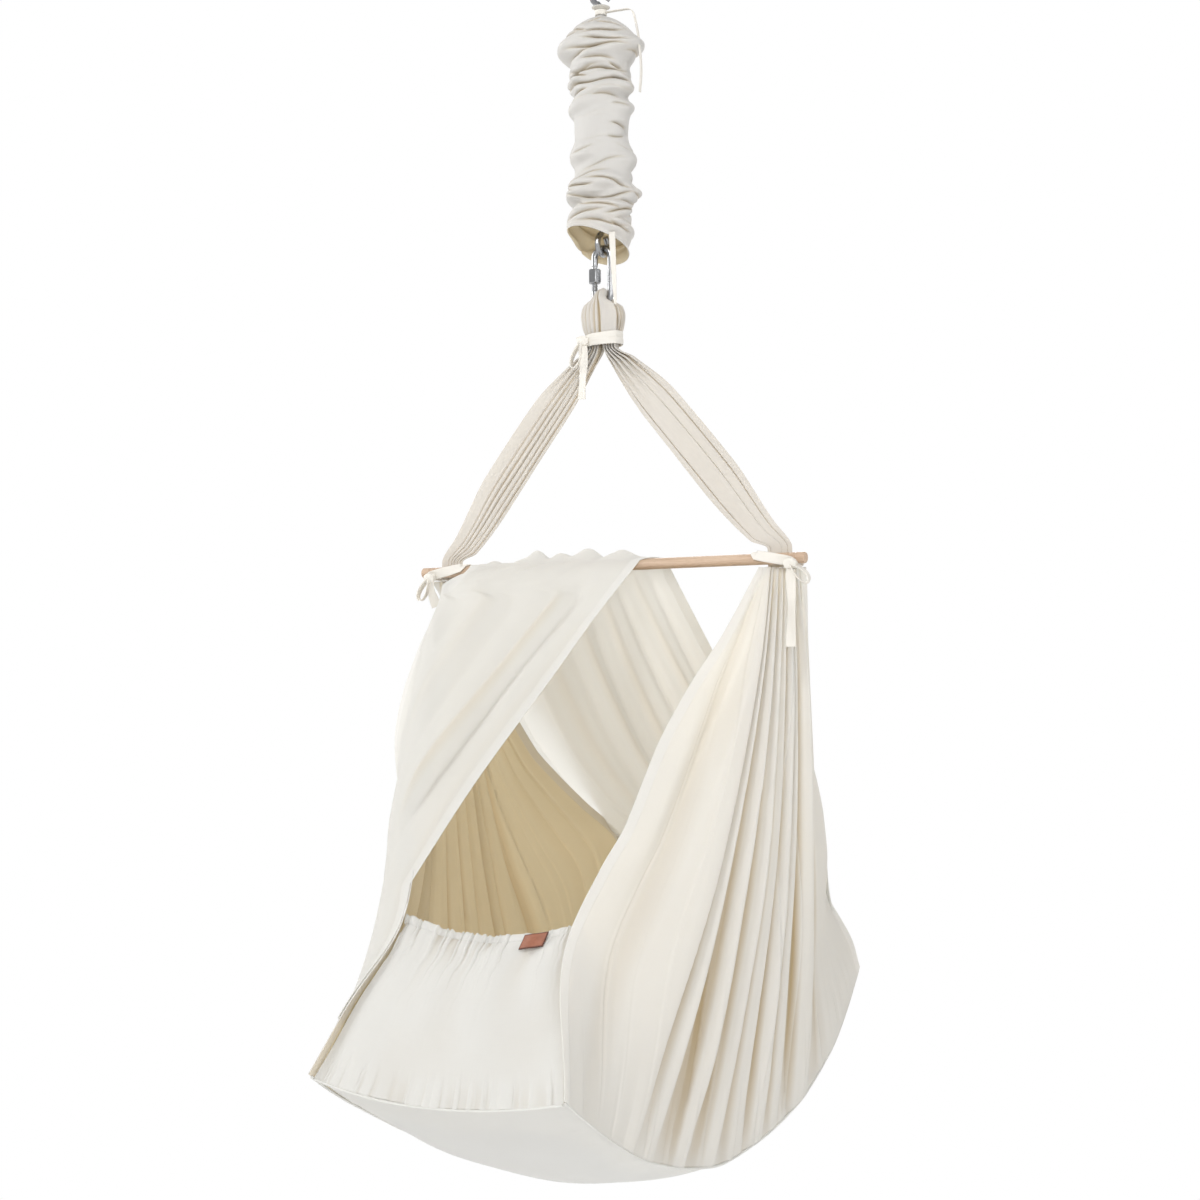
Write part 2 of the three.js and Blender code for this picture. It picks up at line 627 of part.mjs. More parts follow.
function barTieBand() {
  const outward = (u) => new THREE.Vector3(0, Math.cos(2 * Math.PI * u), Math.sin(2 * Math.PI * u));
  return sheet(28, 1, barTieMiddle, outward, () => barTie.tapeThick, true);
}

// Shape of the cradle's cloth. s runs from the front to the rear of a side wall, t from the bar
// down to the seam with the base

const seamShares = [0, 0.05, 0.15, 0.25, 0.4, 0.5, 0.6, 0.75, 0.85, 0.9, 0.95, 1];
const seamOutShares = [1, 1, 0.967, 0.961, 0.954, 0.961, 0.98, 1.026, 1.06, 1.085, 1.09, 1.085];
const seamDropShares = [0, 0.167, 0.457, 0.703, 0.928, 1, 0.957, 0.768, 0.49, 0.27, 0.01, -0.268];
const upperRows = [0, 0.12, 0.28, 0.45];
const lowerRows = [0.8, 0.86, 0.93, 1];
const gatherPlaceShares = [0, 0.3, 0.55, 1];
const gatherBackShares = [-0.67, 0, 0.83, 1];
const frontEdgeShares = [0, 0.142, 0.258, 0.378, 0.52, 0.604, 0.72, 1];
const frontPullShares = [0, 0.23, 0.52, 0.69, 0.72, 0.875, 1, 0];
const rearEdgeShares = [0, 0.2, 0.42, 0.5, 0.57, 0.67, 0.81, 1];
const rearPullShares = [0, 0.28, 0.52, 0.61, 0.74, 1, 0.65, 0];
const rearPushShares = [0, 0, -0.14, 0.175, 0.53, 1, 0.35, 0];
const edgeReachShares = { front: 0.3, rear: 0.35, bulge: 0.2 };
const pleatShares = [0, 0.05, 0.1, 0.16, 0.205, 0.235, 0.252, 0.272, 0.29, 0.315, 0.345, 0.375, 0.42,
  0.465, 0.5, 0.54, 0.575, 0.615, 0.638, 0.66, 0.71, 0.77, 0.84, 0.92, 1];
const pleatHeightShares = [0, 0.1, -0.6, 0.2, 0.9, 1, -0.9, -0.3, 0.7, -0.6, -0.8, 0.9, -0.7,
  0.9, -0.6, 0.4, -0.7, 0.8, -0.5, 0.6, -0.7, 0.7, -0.4, 0.1, 0];
const pleatFadeShares = [0, 0.12, 0.45, 0.8, 1];
const pleatDepthShares = [0.2, 0.7, 1, 0.6, 0];

function seamPoint(s) {
  return new THREE.Vector3(
    base.frontHalf * through(seamShares, seamOutShares, s),
    lerp(-base.frontY, base.rearY, s),
    -base.level - base.rocker * through(seamShares, seamDropShares, s));
}

function gatherPoint(s) {
  return new THREE.Vector3(gatherRight + gather.width * s,
    gather.depth * through(gatherPlaceShares, gatherBackShares, s), -gather.drop);
}

function edgeFade(distance, reach) {
  return Math.max(0, 1 - distance / reach) ** 2;
}

function wallBase(s, t) {
  const point = gatherPoint(s).lerp(seamPoint(s), t);
  const front = edgeFade(s, edgeReachShares.front);
  const rear = edgeFade(1 - s, edgeReachShares.rear);
  const bulge = Math.min(1, s / edgeReachShares.bulge, (1 - s) / edgeReachShares.bulge);
  point.x += wall.bulge * Math.sin(Math.PI * t) * bulge
    - wall.frontPull * through(frontEdgeShares, frontPullShares, t) * front
    - wall.rearPull * through(rearEdgeShares, rearPullShares, t) * rear;
  point.y += wall.rearPush * through(rearEdgeShares, rearPushShares, t) * rear;
  return point;
}

const tiny = 1e-3;

function outwardOf(surface, u, v) {
  const [u0, u1] = [Math.max(u - tiny, 0), Math.min(u + tiny, 1)];
  const [v0, v1] = [v - tiny, v + tiny];
  const across = surface(u1, v).sub(surface(u0, v));
  const along = surface(u, v1).sub(surface(u, v0));
  return along.cross(across).normalize();
}

function wallMiddle(s, t) {
  const depth = wall.foldDepth * through(pleatFadeShares, pleatDepthShares, t);
  const fold = depth * through(pleatShares, pleatHeightShares, s);
  return wallBase(s, t).addScaledVector(outwardOf(wallBase, s, t), fold);
}

function panelTopShare(end) {
  const level = -seamPoint(end.s).z;
  return (level - end.height - gather.drop) / (level - gather.drop);
}

function rightWall() {
  const rows = [...upperRows, panelTopShare(rearEnd), panelTopShare(frontEnd), ...lowerRows];
  return sheet(pleatShares, rows, wallMiddle, (s, t) => outwardOf(wallBase, s, t), () => wall.cloth);
}

// Front and rear panels hang between the walls. u runs from left to right, v from top to bottom

const panelEdgeShare = 0.008;

function panelEdge(end, v) {
  const t = lerp(panelTopShare(end), 1, v);
  const s = Math.abs(end.s - panelEdgeShare);
  const inset = (wall.cloth + panel.cloth) / 2 + 2 * seatGap;
  return wallBase(s, t).addScaledVector(outwardOf(wallBase, s, t), -inset);
}

function panelMiddle(end, u, v) {
  const right = panelEdge(end, v);
  const left = right.clone().setX(-right.x);
  const arch = 4 * u * (1 - u);
  const point = left.lerp(right, u);
  point.y += end.toward * (lerp(panel.bow, end.bulge, v) + panel.billow * Math.sin(Math.PI * v)) * arch;
  point.z -= lerp(panel.sag, belly.endSag, v) * arch;
  point.y += panel.gathers * Math.cos(2 * Math.PI * panel.gatherCount * u) * (1 - v) ** 2 * arch;
  return point;
}

const frontEnd = { s: 0, toward: -1, height: panel.height, bulge: belly.frontBulge };
const rearEnd = { s: 1, toward: 1, height: panel.rearHeight, bulge: belly.rearBulge };

function panelOut(end) {
  const surface = (u, v) => panelMiddle(end, u, v);
  return (u, v) => outwardOf(surface, u, Math.max(v, tiny)).multiplyScalar(end.toward < 0 ? 1 : -1);
}

function endPanel(end) {
  const top = panelTopShare(end);
  const rows = [top, panelTopShare(frontEnd), ...lowerRows].filter((t, k) => k === 0 || t > top)
    .map((t) => (t - top) / (1 - top));
  return sheet(steps.panel, rows, (u, v) => panelMiddle(end, u, v), panelOut(end), () => panel.cloth);
}

function elasticMiddle(end, u, v) {
  const top = panelMiddle(end, u, 0);
  const upward = top.clone().sub(panelMiddle(end, u, tiny)).normalize();
  return top.addScaledVector(upward, seatGap + elastic.width * v);
}

function elasticEdge(end) {
  const inward = panelOut(end);
  return sheet(steps.panel, 1, (u, v) => elasticMiddle(end, u, v), (u) => inward(u, 0), () => elastic.thick);
}

function labelPatch() {
  const topHalf = panelEdge(frontEnd, 0).x;
  const out = panelOut(frontEnd);
  const lift = panel.cloth / 2 + label.thick / 2 + label.sag + seatGap;
  const uOf = (share) => 0.5 + (label.place + label.width * (share - 0.5)) / (2 * topHalf);
  const vOf = (share) => (label.height * share - label.rise) / panel.height;
  const middle = (u, v) => panelMiddle(frontEnd, uOf(u), vOf(v))
    .addScaledVector(out(uOf(u), vOf(v)), lift);
  return sheet(3, 1, middle, (u, v) => out(uOf(u), vOf(v)), () => label.thick);
}

// Base cloth and pad. u runs across, s from front to rear

const sagPlaceShares = [0, 0.25, 0.5, 0.8, 1];
const sagShares = [0.65, 0.85, 1, 0.8, 0.65];
const baseRows = [0, 0.03, 0.06, 0.11, 0.17, 0.25, 0.34, 0.45, 0.56, 0.67, 0.76, 0.83, 0.88, 0.905, 0.93, 0.965, 1];
const endReachShare = 0.14;

function baseMiddle(u, s) {
  const point = basePlain(u, s);
  const inset = panel.cloth + seatGap;
  for (const end of [frontEnd, rearEnd]) {
    const near = edgeFade(Math.abs(end.s - s), endReachShare);
    const meeting = panelMiddle(end, u, 1);
    const plain = basePlain(u, end.s);
    point.y += near * (meeting.y - plain.y - end.toward * inset);
    point.z += near * (meeting.z - plain.z + seatGap);
  }
  return point;
}

function basePlain(u, s) {
  const across = 2 * u - 1;
  const seam = seamPoint(s);
  return new THREE.Vector3(
    across * (seam.x - (wall.cloth + base.cloth) / 2 - seatGap), seam.y,
    seam.z - belly.sag * through(sagPlaceShares, sagShares, s) * (1 - across * across));
}

function baseCloth() {
  const outward = (u, s) => outwardOf(baseMiddle, u, s);
  return sheet(steps.base, baseRows, baseMiddle, outward, () => base.cloth);
}

function padMiddle(u, v) {
  const y = pad.length * (v - 0.5);
  const s = (y + base.frontY) / (base.frontY + base.rearY);
  const seam = seamPoint(s);
  const corner = Math.max(0, Math.abs(2 * v - 1) * pad.length / 2 - (pad.length / 2 - pad.corner));
  const half = pad.width / 2 - pad.corner + Math.sqrt(Math.max(0, pad.corner ** 2 - corner ** 2));
  const x = (2 * u - 1) * half;
  const center = baseMiddle(0.5 + x / (2 * seam.x), s);
  return center.setX(x);
}

function padThick(u, v) {
  const sideShare = 1 - Math.abs(2 * u - 1) ** 6;
  const endShare = 1 - Math.abs(2 * v - 1) ** 10;
  return lerp(pad.edge, pad.thick, Math.sqrt(Math.max(0, sideShare * endShare)));
}

const padEndShares = [0, 0.02];
const padColumns = [0, 0.04, 0.12, 0.3, 0.5, 0.7, 0.88, 0.96, 1];

function mattress() {
  const lifted = (u, v) => {
    const up = outwardOf(padMiddle, u, v).negate();
    return padMiddle(u, v).addScaledVector(up, base.cloth / 2 + padThick(u, v) / 2 + pad.clearance);
  };
  const span = base.frontY + base.rearY;
  const shareOf = (s) => (span * s - base.frontY) / pad.length + 0.5;
  const inner = baseRows.map(shareOf).filter((v) => v > padEndShares[1] && v < 1 - padEndShares[1]);
  const rows = [...padEndShares, ...inner, ...padEndShares.map((share) => 1 - share).reverse()];
  return sheet(padColumns, rows, lifted, (u, v) => outwardOf(padMiddle, u, v), padThick);
}

// Canopy: from the rear panel up over the bar, then down outside the left wall.
// v runs 0 to 1 up to the bar, 1 to 2 over it and 2 to 3 down to the free end; u runs left to right

const canopyRows = [0, 0.2, 0.45, 0.7, 0.9, 1, 1.33, 1.67, 2, 2.05, 2.12, 2.22, 2.34, 2.46, 2.58, 2.7, 2.8, 2.9, 3];
const billowPlaceShares = [0, 0.05, 0.2, 0.41, 0.68, 1];
const billowShares = [0, 0.2, 0.77, 1, 0.42, 0];
const billowFrontShares = [0, 0.17, 0.27, 0.45, 0.7, 1];
const barWrapTurns = { rear: 0.114, front: 0.405 };

function canopyOnBar(u, share) {
  const angle = 2 * Math.PI * lerp(barWrapTurns.rear, barWrapTurns.front, share);
  const radius = bar.diameter / 2 + 3 * seatGap + canopy.cloth / 2;
  const right = lerp(canopy.barRight, canopy.barNear, share);
  return new THREE.Vector3(lerp(canopy.barLeft, right, u), radius * Math.cos(angle), radius * Math.sin(angle));
}

const spreadPlaceShares = [0, 0.06, 0.25, 0.45, 0.7, 1];
const spreadShares = [0, 0, 0.3, 0.8, 0.6, 0];

function canopyBehind(u, share) {
  const up = elasticMiddle(rearEnd, u, 1 + seatGap / elastic.width * 2);
  const point = up.lerp(canopyOnBar(u, 0), share);
  const arch = Math.sin(Math.PI * share);
  point.z -= canopy.slack * arch * (0.5 + u * (1 - u) * 2);
  point.z += canopy.fold * Math.sin(6 * Math.PI * u) * arch;
  point.x -= canopy.rearSpread * through(spreadPlaceShares, spreadShares, share) * (1 - u) ** 2;
  return point;
}

function canopyHem(share) {
  const joinShare = canopy.joinLevel / canopy.endLevel;
  const wallShare = (level) => (level - gather.drop) / (base.level - gather.drop);
  const clear = canopy.clear;
  const onWall = (level) => {
    const t = wallShare(level);
    return wallBase(0, t).addScaledVector(outwardOf(wallBase, 0, t), clear).multiply(new THREE.Vector3(-1, 1, 1));
  };
  if (share >= joinShare) return onWall(canopy.endLevel * share);
  const along = share / joinShare;
  const point = canopyOnBar(1, 1).lerp(onWall(canopy.joinLevel), along);
  point.y -= canopy.hemBulge * Math.sin(Math.PI * along);
  return point;
}

function canopyOuter(share) {
  const start = canopyOnBar(0, 1);
  return new THREE.Vector3(
    lerp(start.x, -canopy.outerX, share) - canopy.billow * through(billowPlaceShares, billowShares, share),
    lerp(start.y, -canopy.outerY, through(billowPlaceShares, billowFrontShares, share)), lerp(start.z, -canopy.outerLevel, share));
}

function canopyOverWall(share) {
  const level = Math.max(canopy.endLevel * share, gather.drop);
  const t = (level - gather.drop) / (base.level - gather.drop);
  const s = canopy.wallPlaceShare * Math.max(0, share - 0.5) * 2;
  return wallBase(s, t).addScaledVector(outwardOf(wallBase, s, t), canopy.clear + wall.foldDepth)
    .multiply(new THREE.Vector3(-1, 1, 1));
}

function canopyInFront(u, share) {
  const outer = canopyOuter(share);
  const over = canopyOverWall(share);
  const hem = canopyHem(share);
  const left = outer.distanceTo(over);
  const middle = left / (left + over.distanceTo(hem));
  const blend = Math.min(1, share / canopy.settleShare);
  const along = (axis) => through([0, middle, 1], [outer[axis], over[axis], hem[axis]], u);
  const draped = new THREE.Vector3(along('x'), along('y'), along('z'));
  return canopyOnBar(u, 1).add(outer.clone().lerp(hem, u).sub(canopyOnBar(0, 1).lerp(canopyOnBar(1, 1), u)))
    .lerp(draped, blend);
}

function canopyMiddle(u, v) {
  if (v <= 1) return canopyBehind(u, Math.max(v, 0));
  if (v <= 2) return canopyOnBar(u, v - 1);
  return canopyInFront(u, Math.min(v, 3) - 2);
}

function canopySheet() {
  const outward = (u, v) => {
    const across = canopyMiddle(Math.min(u + tiny, 1), v).sub(canopyMiddle(Math.max(u - tiny, 0), v));
    const along = canopyMiddle(u, Math.min(v + tiny, 3)).sub(canopyMiddle(u, Math.max(v - tiny, 0)));
    return across.cross(along).normalize();
  };
  return sheet(steps.panel, canopyRows, canopyMiddle, outward, () => canopy.cloth);
}

// Assembly: the hanging hardware in the row's own frame, the cradle in the bar's frame

const barBow = {
  out: gatherRight + gather.width - bowPlace.barInset,
  y: -(bar.diameter / 2 + bowPlace.barFront),
  z: -(bar.diameter / 2 + bowPlace.barBelow),
};
const bows = {
  neck: {
    ...neckBow,
    at: [-bowPlace.neckSide, -(neck.depth / 2 + bowPlace.neckFront), strap.drop - bowPlace.neckBelow],
    wayShares: [[0, 0, 0], [0.05, 0.06, 0.4], [0, 0.04, 1]],
  },
  right: {
    ...rightBow,
    at: [barBow.out, barBow.y, barBow.z],
    wayShares: [[0, 0, 0], [0.02, 0.03, 0.4], [0, 0.02, 1]],
  },
  left: {
    ...leftBow,
    at: [bowPlace.leftShift - barBow.out, barBow.y, barBow.z],
    wayShares: [[0, 0, 0], [0.12, 0.06, 0.5], [0.3, 0.04, 1]],
  },
};

function bowFrom({ at, tail, wayShares, ear }, tape) {
  return bow(at, [knot.width, knot.depth, knot.height], tape, { length: tail, wayShares }, ear);
}

const cradle = new THREE.Group();
cradle.position.z = barZ;
cradle.add(
  node('sling_loop', slingLoop(), finish.cloth),
  node('neck_tie', neckTie(), finish.tape),
  node('neck_bow', bowFrom(bows.neck, neckTape), finish.tape),
  node('left_strap', mirrored(rightStrap()), finish.cloth),
  node('right_strap', rightStrap(), finish.cloth),
  node('spreader_bar', spreaderBar(), finish.wood),
  node('left_bar_tie', mirrored(barTieBand()), finish.tape),
  node('left_bar_bow', bowFrom(bows.left, bowTape), finish.tape),
  node('right_bar_tie', barTieBand(), finish.tape),
  node('right_bar_bow', bowFrom(bows.right, bowTape), finish.tape),
  node('left_wall', mirrored(rightWall()), finish.cloth),
  node('right_wall', rightWall(), finish.cloth),
  node('front_panel', endPanel(frontEnd), finish.cloth),
  node('front_elastic', elasticEdge(frontEnd), finish.elastic),
  node('label', labelPatch(), finish.leather),
  node('rear_panel', endPanel(rearEnd), finish.cloth),
  node('rear_elastic', elasticEdge(rearEnd), finish.elastic),
  node('base_cloth', baseCloth(), finish.cloth),
  node('mattress', mattress(), finish.pad),
  node('canopy', canopySheet(), finish.sheer),
);

const group = new THREE.Group();
group.add(
  node('upper_hook', hook(upperHeadZ, 1, true), finish.steel),
  node('upper_plug', springPlug(springTopZ, 1), finish.steel),
  node('spring', spring(), finish.spring),
  node('spring_sleeve', springSleeve(), finish.cloth),
  node('sleeve_top_tape', sleeveTie(), finish.tape),
  node('lower_plug', springPlug(springBottomZ, -1), finish.steel),
  node('lower_hook', hook(lowerHeadZ, -1, false), finish.steel),
  node('sleeve_low_tape', sleeveMouthTape(), finish.tape),
  node('quick_link', quickLink(), finish.steel),
  node('link_nut', linkNut(), finish.steel),
  cradle,
);

export default group;
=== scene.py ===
# Looks of the hanging baby cradle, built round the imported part.
# Shapes are in millimetres in the bar's own frame, and placed in metres in the part's frame.

import functools
import math

import bpy
import numpy as np
from mathutils import Matrix, Vector


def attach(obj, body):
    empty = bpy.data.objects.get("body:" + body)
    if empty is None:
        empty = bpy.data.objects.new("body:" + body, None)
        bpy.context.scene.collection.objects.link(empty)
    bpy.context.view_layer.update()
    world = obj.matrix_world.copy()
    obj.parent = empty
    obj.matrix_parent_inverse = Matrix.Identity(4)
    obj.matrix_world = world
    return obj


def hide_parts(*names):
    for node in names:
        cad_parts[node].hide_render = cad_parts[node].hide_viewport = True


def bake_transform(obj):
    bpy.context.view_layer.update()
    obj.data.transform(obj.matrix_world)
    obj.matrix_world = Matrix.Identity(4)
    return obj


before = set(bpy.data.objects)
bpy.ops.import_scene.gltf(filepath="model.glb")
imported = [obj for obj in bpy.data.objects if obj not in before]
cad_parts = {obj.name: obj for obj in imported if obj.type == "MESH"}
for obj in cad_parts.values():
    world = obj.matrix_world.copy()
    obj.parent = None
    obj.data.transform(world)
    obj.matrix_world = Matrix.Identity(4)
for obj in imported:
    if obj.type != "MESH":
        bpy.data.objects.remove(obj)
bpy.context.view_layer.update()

# Heights and sizes repeated from the part's source
SEAT = 0.3
BAR_Z = -700.3
BAR_RADIUS = 6.5
GATHER_X, GATHER_WIDTH, GATHER_DEPTH, GATHER_DROP = 203.0, 50.0, 12.0, 10.0
FRONT_Y, REAR_Y, LEVEL, ROCKER, FRONT_HALF = 375.0, 382.0, 548.0, 138.0, 153.0
STRAP_DROP, STRAP_WIDTH = 270.0, 52.0
CLOTH, STRAP_FOLD = 2.4, 1.6
LINK_TOP, LINK_BOTTOM = -319.1, -385.1
TAU = 2 * math.pi

# Thickness of the cloths and tapes, as modelled
WALL_THICK, THIN_CLOTH, TAPE_THICK = 1.1, 0.7, 1.0


# Number helpers


def hermite(t, span, a, b, at_a, at_b):
    """The smooth line from a to b over span, with its slopes there, at share t."""
    return (
        (1 + 2 * t) * (1 - t) ** 2 * a + t * (1 - t) ** 2 * span * at_a
        + t * t * (3 - 2 * t) * b + t * t * (t - 1) * span * at_b
    )


def curve(places, values):
    """A smooth curve through places and values that never overshoots between them."""
    p, v = np.array(places, float), np.array(values, float)
    slope = np.diff(v) / np.diff(p)
    tangent = np.concatenate([slope[:1], np.zeros(len(p) - 2), slope[-1:]])
    product, total = slope[:-1] * slope[1:], slope[:-1] + slope[1:]
    same = product > 0
    tangent[1:-1][same] = 2 * product[same] / total[same]

    def at(x):
        x = np.clip(x, p[0], p[-1])
        k = np.clip(np.searchsorted(p, x, side="right") - 1, 0, len(p) - 2)
        span = p[k + 1] - p[k]
        return hermite((x - p[k]) / span, span, v[k], v[k + 1], tangent[k], tangent[k + 1])

    return at


def random_curve(random, count):
    """Uneven heights from -1 to 1 along 0 to 1, with count random places between its ends."""
    places = np.sort(np.concatenate([[0, 1], random.uniform(0, 1, count)]))
    return curve(places, random.uniform(-1, 1, count + 2))


def step(x, low, high):
    """0 below low, 1 above high and smooth between."""
    t = np.clip((x - low) / (high - low), 0, 1)
    return t * t * (3 - 2 * t)


def bell(x, place, width, power=2):
    """1 at place and 0 some widths away from it."""
    return np.exp(-(((x - place) / width) ** power))


def inside(x, reach):
    """0 at both ends of 0 to 1, and 1 from reach inwards."""
    return np.minimum(1, np.minimum(x, 1 - x) / reach)


def waves(u, v, seed, count, across, along):
    """A soft random relief of about -1 to 1, with wave numbers up to across in u and along in v."""
    random = np.random.RandomState(seed)
    total = np.zeros(np.broadcast(u, v).shape)
    for _ in range(count):
        a, b = random.uniform(-across, across), random.uniform(-along, along)
        total += np.cos(TAU * (a * u + b * v + random.uniform()))
    return total / math.sqrt(count)


def unit(vectors):
    return vectors / np.maximum(np.linalg.norm(vectors, axis=-1, keepdims=True), 1e-9)


def stack(x, y, z):
    return np.stack(np.broadcast_arrays(x, y, z), -1).astype(float)


def matched(u, v):
    return np.broadcast_arrays(np.asarray(u, float), np.asarray(v, float))


def outward_of(surface, u, v, tiny=1e-3):
    """Unit vectors off a surface at u and v, from points close by on it."""
    u0, u1 = np.clip(u - tiny, 0, 1), np.clip(u + tiny, 0, 1)
    across = surface(u1, v) - surface(u0, v)
    along = surface(u, v + tiny) - surface(u, v - tiny)
    return unit(np.cross(along, across))


def normals_of(points):
    """Outward normals of a grid of points, from its neighbours."""
    return unit(np.cross(np.gradient(points, axis=0), np.gradient(points, axis=1)))


def smooth_path(points, count):
    """count points on a smooth line through a few points."""
    points = np.array(points, float)
    lengths = np.linalg.norm(np.diff(points, axis=0), axis=1)
    places = np.concatenate([[0], np.cumsum(lengths)])
    at = np.linspace(0, places[-1], count)
    out = np.empty((count, 3))
    padded = np.vstack([2 * points[0] - points[1], points, 2 * points[-1] - points[-2]])
    for n, x in enumerate(at):
        k = min(np.searchsorted(places, x, side="right") - 1, len(points) - 2)
        t = (x - places[k]) / max(lengths[k], 1e-9)
        a, b, c, d = padded[k : k + 4]
        out[n] = 0.5 * (
            2 * b + (c - a) * t + (2 * a - 5 * b + 4 * c - d) * t**2 + (3 * b - a - 3 * c + d) * t**3
        )
    return out


def frames_along(points, first_side):
    side, sides, lifts = np.array(first_side, float), [], []
    for k in range(len(points)):
        along = unit(points[min(k + 1, len(points) - 1)] - points[max(k - 1, 0)])
        side = unit(side - along * side.dot(along))
        sides.append(side)
        lifts.append(np.cross(along, side))
    return np.array(sides), np.array(lifts)


# Mesh helpers


def shown(name, mesh):
    """An object of the mesh in the scene, with smooth shading."""
    mesh.polygons.foreach_set("use_smooth", np.ones(len(mesh.polygons), bool))
    mesh.update()
    obj = bpy.data.objects.new(name, mesh)
    bpy.context.scene.collection.objects.link(obj)
    return obj


def in_metres(points, local=True):
    """Points in mm as metres in the part's frame, from the bar's frame when local."""
    return (points + ((0, 0, BAR_Z) if local else (0, 0, 0))) * 0.001


def mesh_from(name, vertices, faces, uv=None, marks=None):
    """An object from faces that all have the same number of corners."""
    mesh = bpy.data.meshes.new(name)
    vertices, faces = np.asarray(vertices, np.float32), np.asarray(faces, np.int32)
    mesh.vertices.add(len(vertices))
    mesh.vertices.foreach_set("co", vertices.ravel())
    mesh.loops.add(faces.size)
    mesh.loops.foreach_set("vertex_index", faces.ravel())
    mesh.polygons.add(len(faces))
    mesh.polygons.foreach_set("loop_start", np.arange(0, faces.size, faces.shape[1], dtype=np.int32))
    mesh.update(calc_edges=True)
    if uv is not None:
        layer = mesh.uv_layers.new(name="UVMap")
        layer.data.foreach_set("uv", np.asarray(uv, float)[faces.ravel()].ravel())
    for key, values in (marks or {}).items():
        attribute = mesh.attributes.new(key, "FLOAT", "POINT")
        attribute.data.foreach_set("value", np.asarray(values, np.float32).ravel())
    return shown(name, mesh)


def grid_faces(rows, columns, wrap):
    j, i = np.meshgrid(np.arange(rows - 1), np.arange(columns if wrap else columns - 1), indexing="ij")
    here, ahead = j * columns, (j + 1) * columns
    n = (i + 1) % columns
    return np.stack([here + i, here + n, ahead + n, ahead + i], -1).reshape(-1, 4)


def run_along(points):
    """The length from the first point to each point."""
    return np.concatenate([[0], np.cumsum(np.linalg.norm(np.diff(points, axis=0), axis=1))])


def grid(name, points, wrap=False, uv=None, marks=None, thick=0.0, local=True):
    """A sheet through rows x columns points in mm."""
    rows, columns = points.shape[:2]
    if uv is None:
        across, along = run_along(points[rows // 2]), run_along(points[:, columns // 2])
        uv = np.stack(np.meshgrid(across, along), -1) * 0.001
    vertices = in_metres(points, local).reshape(-1, 3)
    obj = mesh_from(name, vertices, grid_faces(rows, columns, wrap), uv.reshape(-1, 2), marks)
    if thick:
        solid = obj.modifiers.new("thickness", "SOLIDIFY")
        solid.thickness, solid.offset = thick * 0.001, 0
    return obj


def tube(name, path, radii, sides, first_side, local=True):
    """A closed round tube along points in mm. radii is one number or one a point."""
    path = np.array(path, float)
    rows = len(path)
    side, lift = frames_along(path, first_side)
    angle = TAU * np.arange(sides) / sides
    reach = np.broadcast_to(np.asarray(radii, float), (rows,))[:, None]
    points = (
        path[:, None]
        + side[:, None] * (reach * np.cos(angle))[..., None]
        + lift[:, None] * (reach * np.sin(angle))[..., None]
    )
    faces = grid_faces(rows, sides, True).tolist()
    faces += [list(range(sides - 1, -1, -1)), [(rows - 1) * sides + i for i in range(sides)]]
    mesh = bpy.data.meshes.new(name)
    mesh.from_pydata(in_metres(points, local).reshape(-1, 3).tolist(), [], faces)
    return shown(name, mesh)


def ribbon(name, path, side, width, columns=9, cup=0.0, local=True):
    """A flat tape along points in mm; side is the way it is wide, at each point."""
    path, side = np.array(path, float), unit(np.broadcast_to(np.array(side, float), np.shape(path)))
    along = unit(np.gradient(path, axis=0))
    side = unit(side - along * (side * along).sum(-1, keepdims=True))
    lift = np.cross(along, side)
    width = np.broadcast_to(np.asarray(width, float), (len(path),))
    place = np.linspace(-0.5, 0.5, columns)
    points = path[:, None] + side[:, None] * (width[:, None] * place)[..., None]
    points = points + lift[:, None] * (cup * (4 * place**2 - 1))[None, :, None]
    return grid(name, points, thick=TAPE_THICK, local=local)


def joined(name, objects):
    """One object from several, with their thickness applied."""
    bpy.context.view_layer.update()
    graph = bpy.context.evaluated_depsgraph_get()
    vertices, faces = [], []
    for o in objects:
        made, start = o.evaluated_get(graph).to_mesh(), len(vertices)
        vertices += [tuple(v.co) for v in made.vertices]
        faces += [[start + i for i in p.vertices] for p in made.polygons]
        o.evaluated_get(graph).to_mesh_clear()
    for o in objects:
        bpy.data.objects.remove(o)
    mesh = bpy.data.meshes.new(name)
    mesh.from_pydata(vertices, [], faces)
    return shown(name, mesh)


def dress(obj, look, body, slot, *nodes, inner=None):
    """Gives a piece its material and its body, and hides the nodes it stands for. slot is not used."""
    obj.data.materials.clear()
    obj.data.materials.append(look)
    if inner:
        obj.data.materials.append(inner)
        obj.modifiers["thickness"].material_offset = 1
    if body:
        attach(obj, body)
    if nodes:
        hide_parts(*nodes)
    return obj


# Materials


def put(tree, kind, *fed, out=0, **values):
    """An output of a new node. fed goes to its inputs in order, values to its inputs or settings by name."""
    made = tree.nodes.new("ShaderNode" + kind)
    wanted = list(enumerate(fed))
    for key, value in values.items():
        socket = key.replace("_", " ")
        if socket in made.inputs:
            wanted.append((socket, value))
        else:
            setattr(made, key, value)
    for key, value in wanted:
        socket = made.inputs[key]
        if isinstance(value, bpy.types.NodeSocket):
            tree.links.new(value, socket)
        elif value is not None:
            socket.default_value = (*value, 1) if socket.type == "RGBA" else value
    return made.outputs[out] if made.outputs else None


def shader(name):
    """A new material, and the call that puts a node into it."""
    look = bpy.data.materials.new(name)
    look.use_nodes = True
    look.node_tree.nodes.clear()
    return look, functools.partial(put, look.node_tree)


def plus(node, a, b):
    return node("Math", a, b, operation="ADD")


def times(node, a, b):
    return node("Math", a, b, operation="MULTIPLY")


def greater(node, a, b):
    return node("Math", a, b, operation="MAXIMUM")


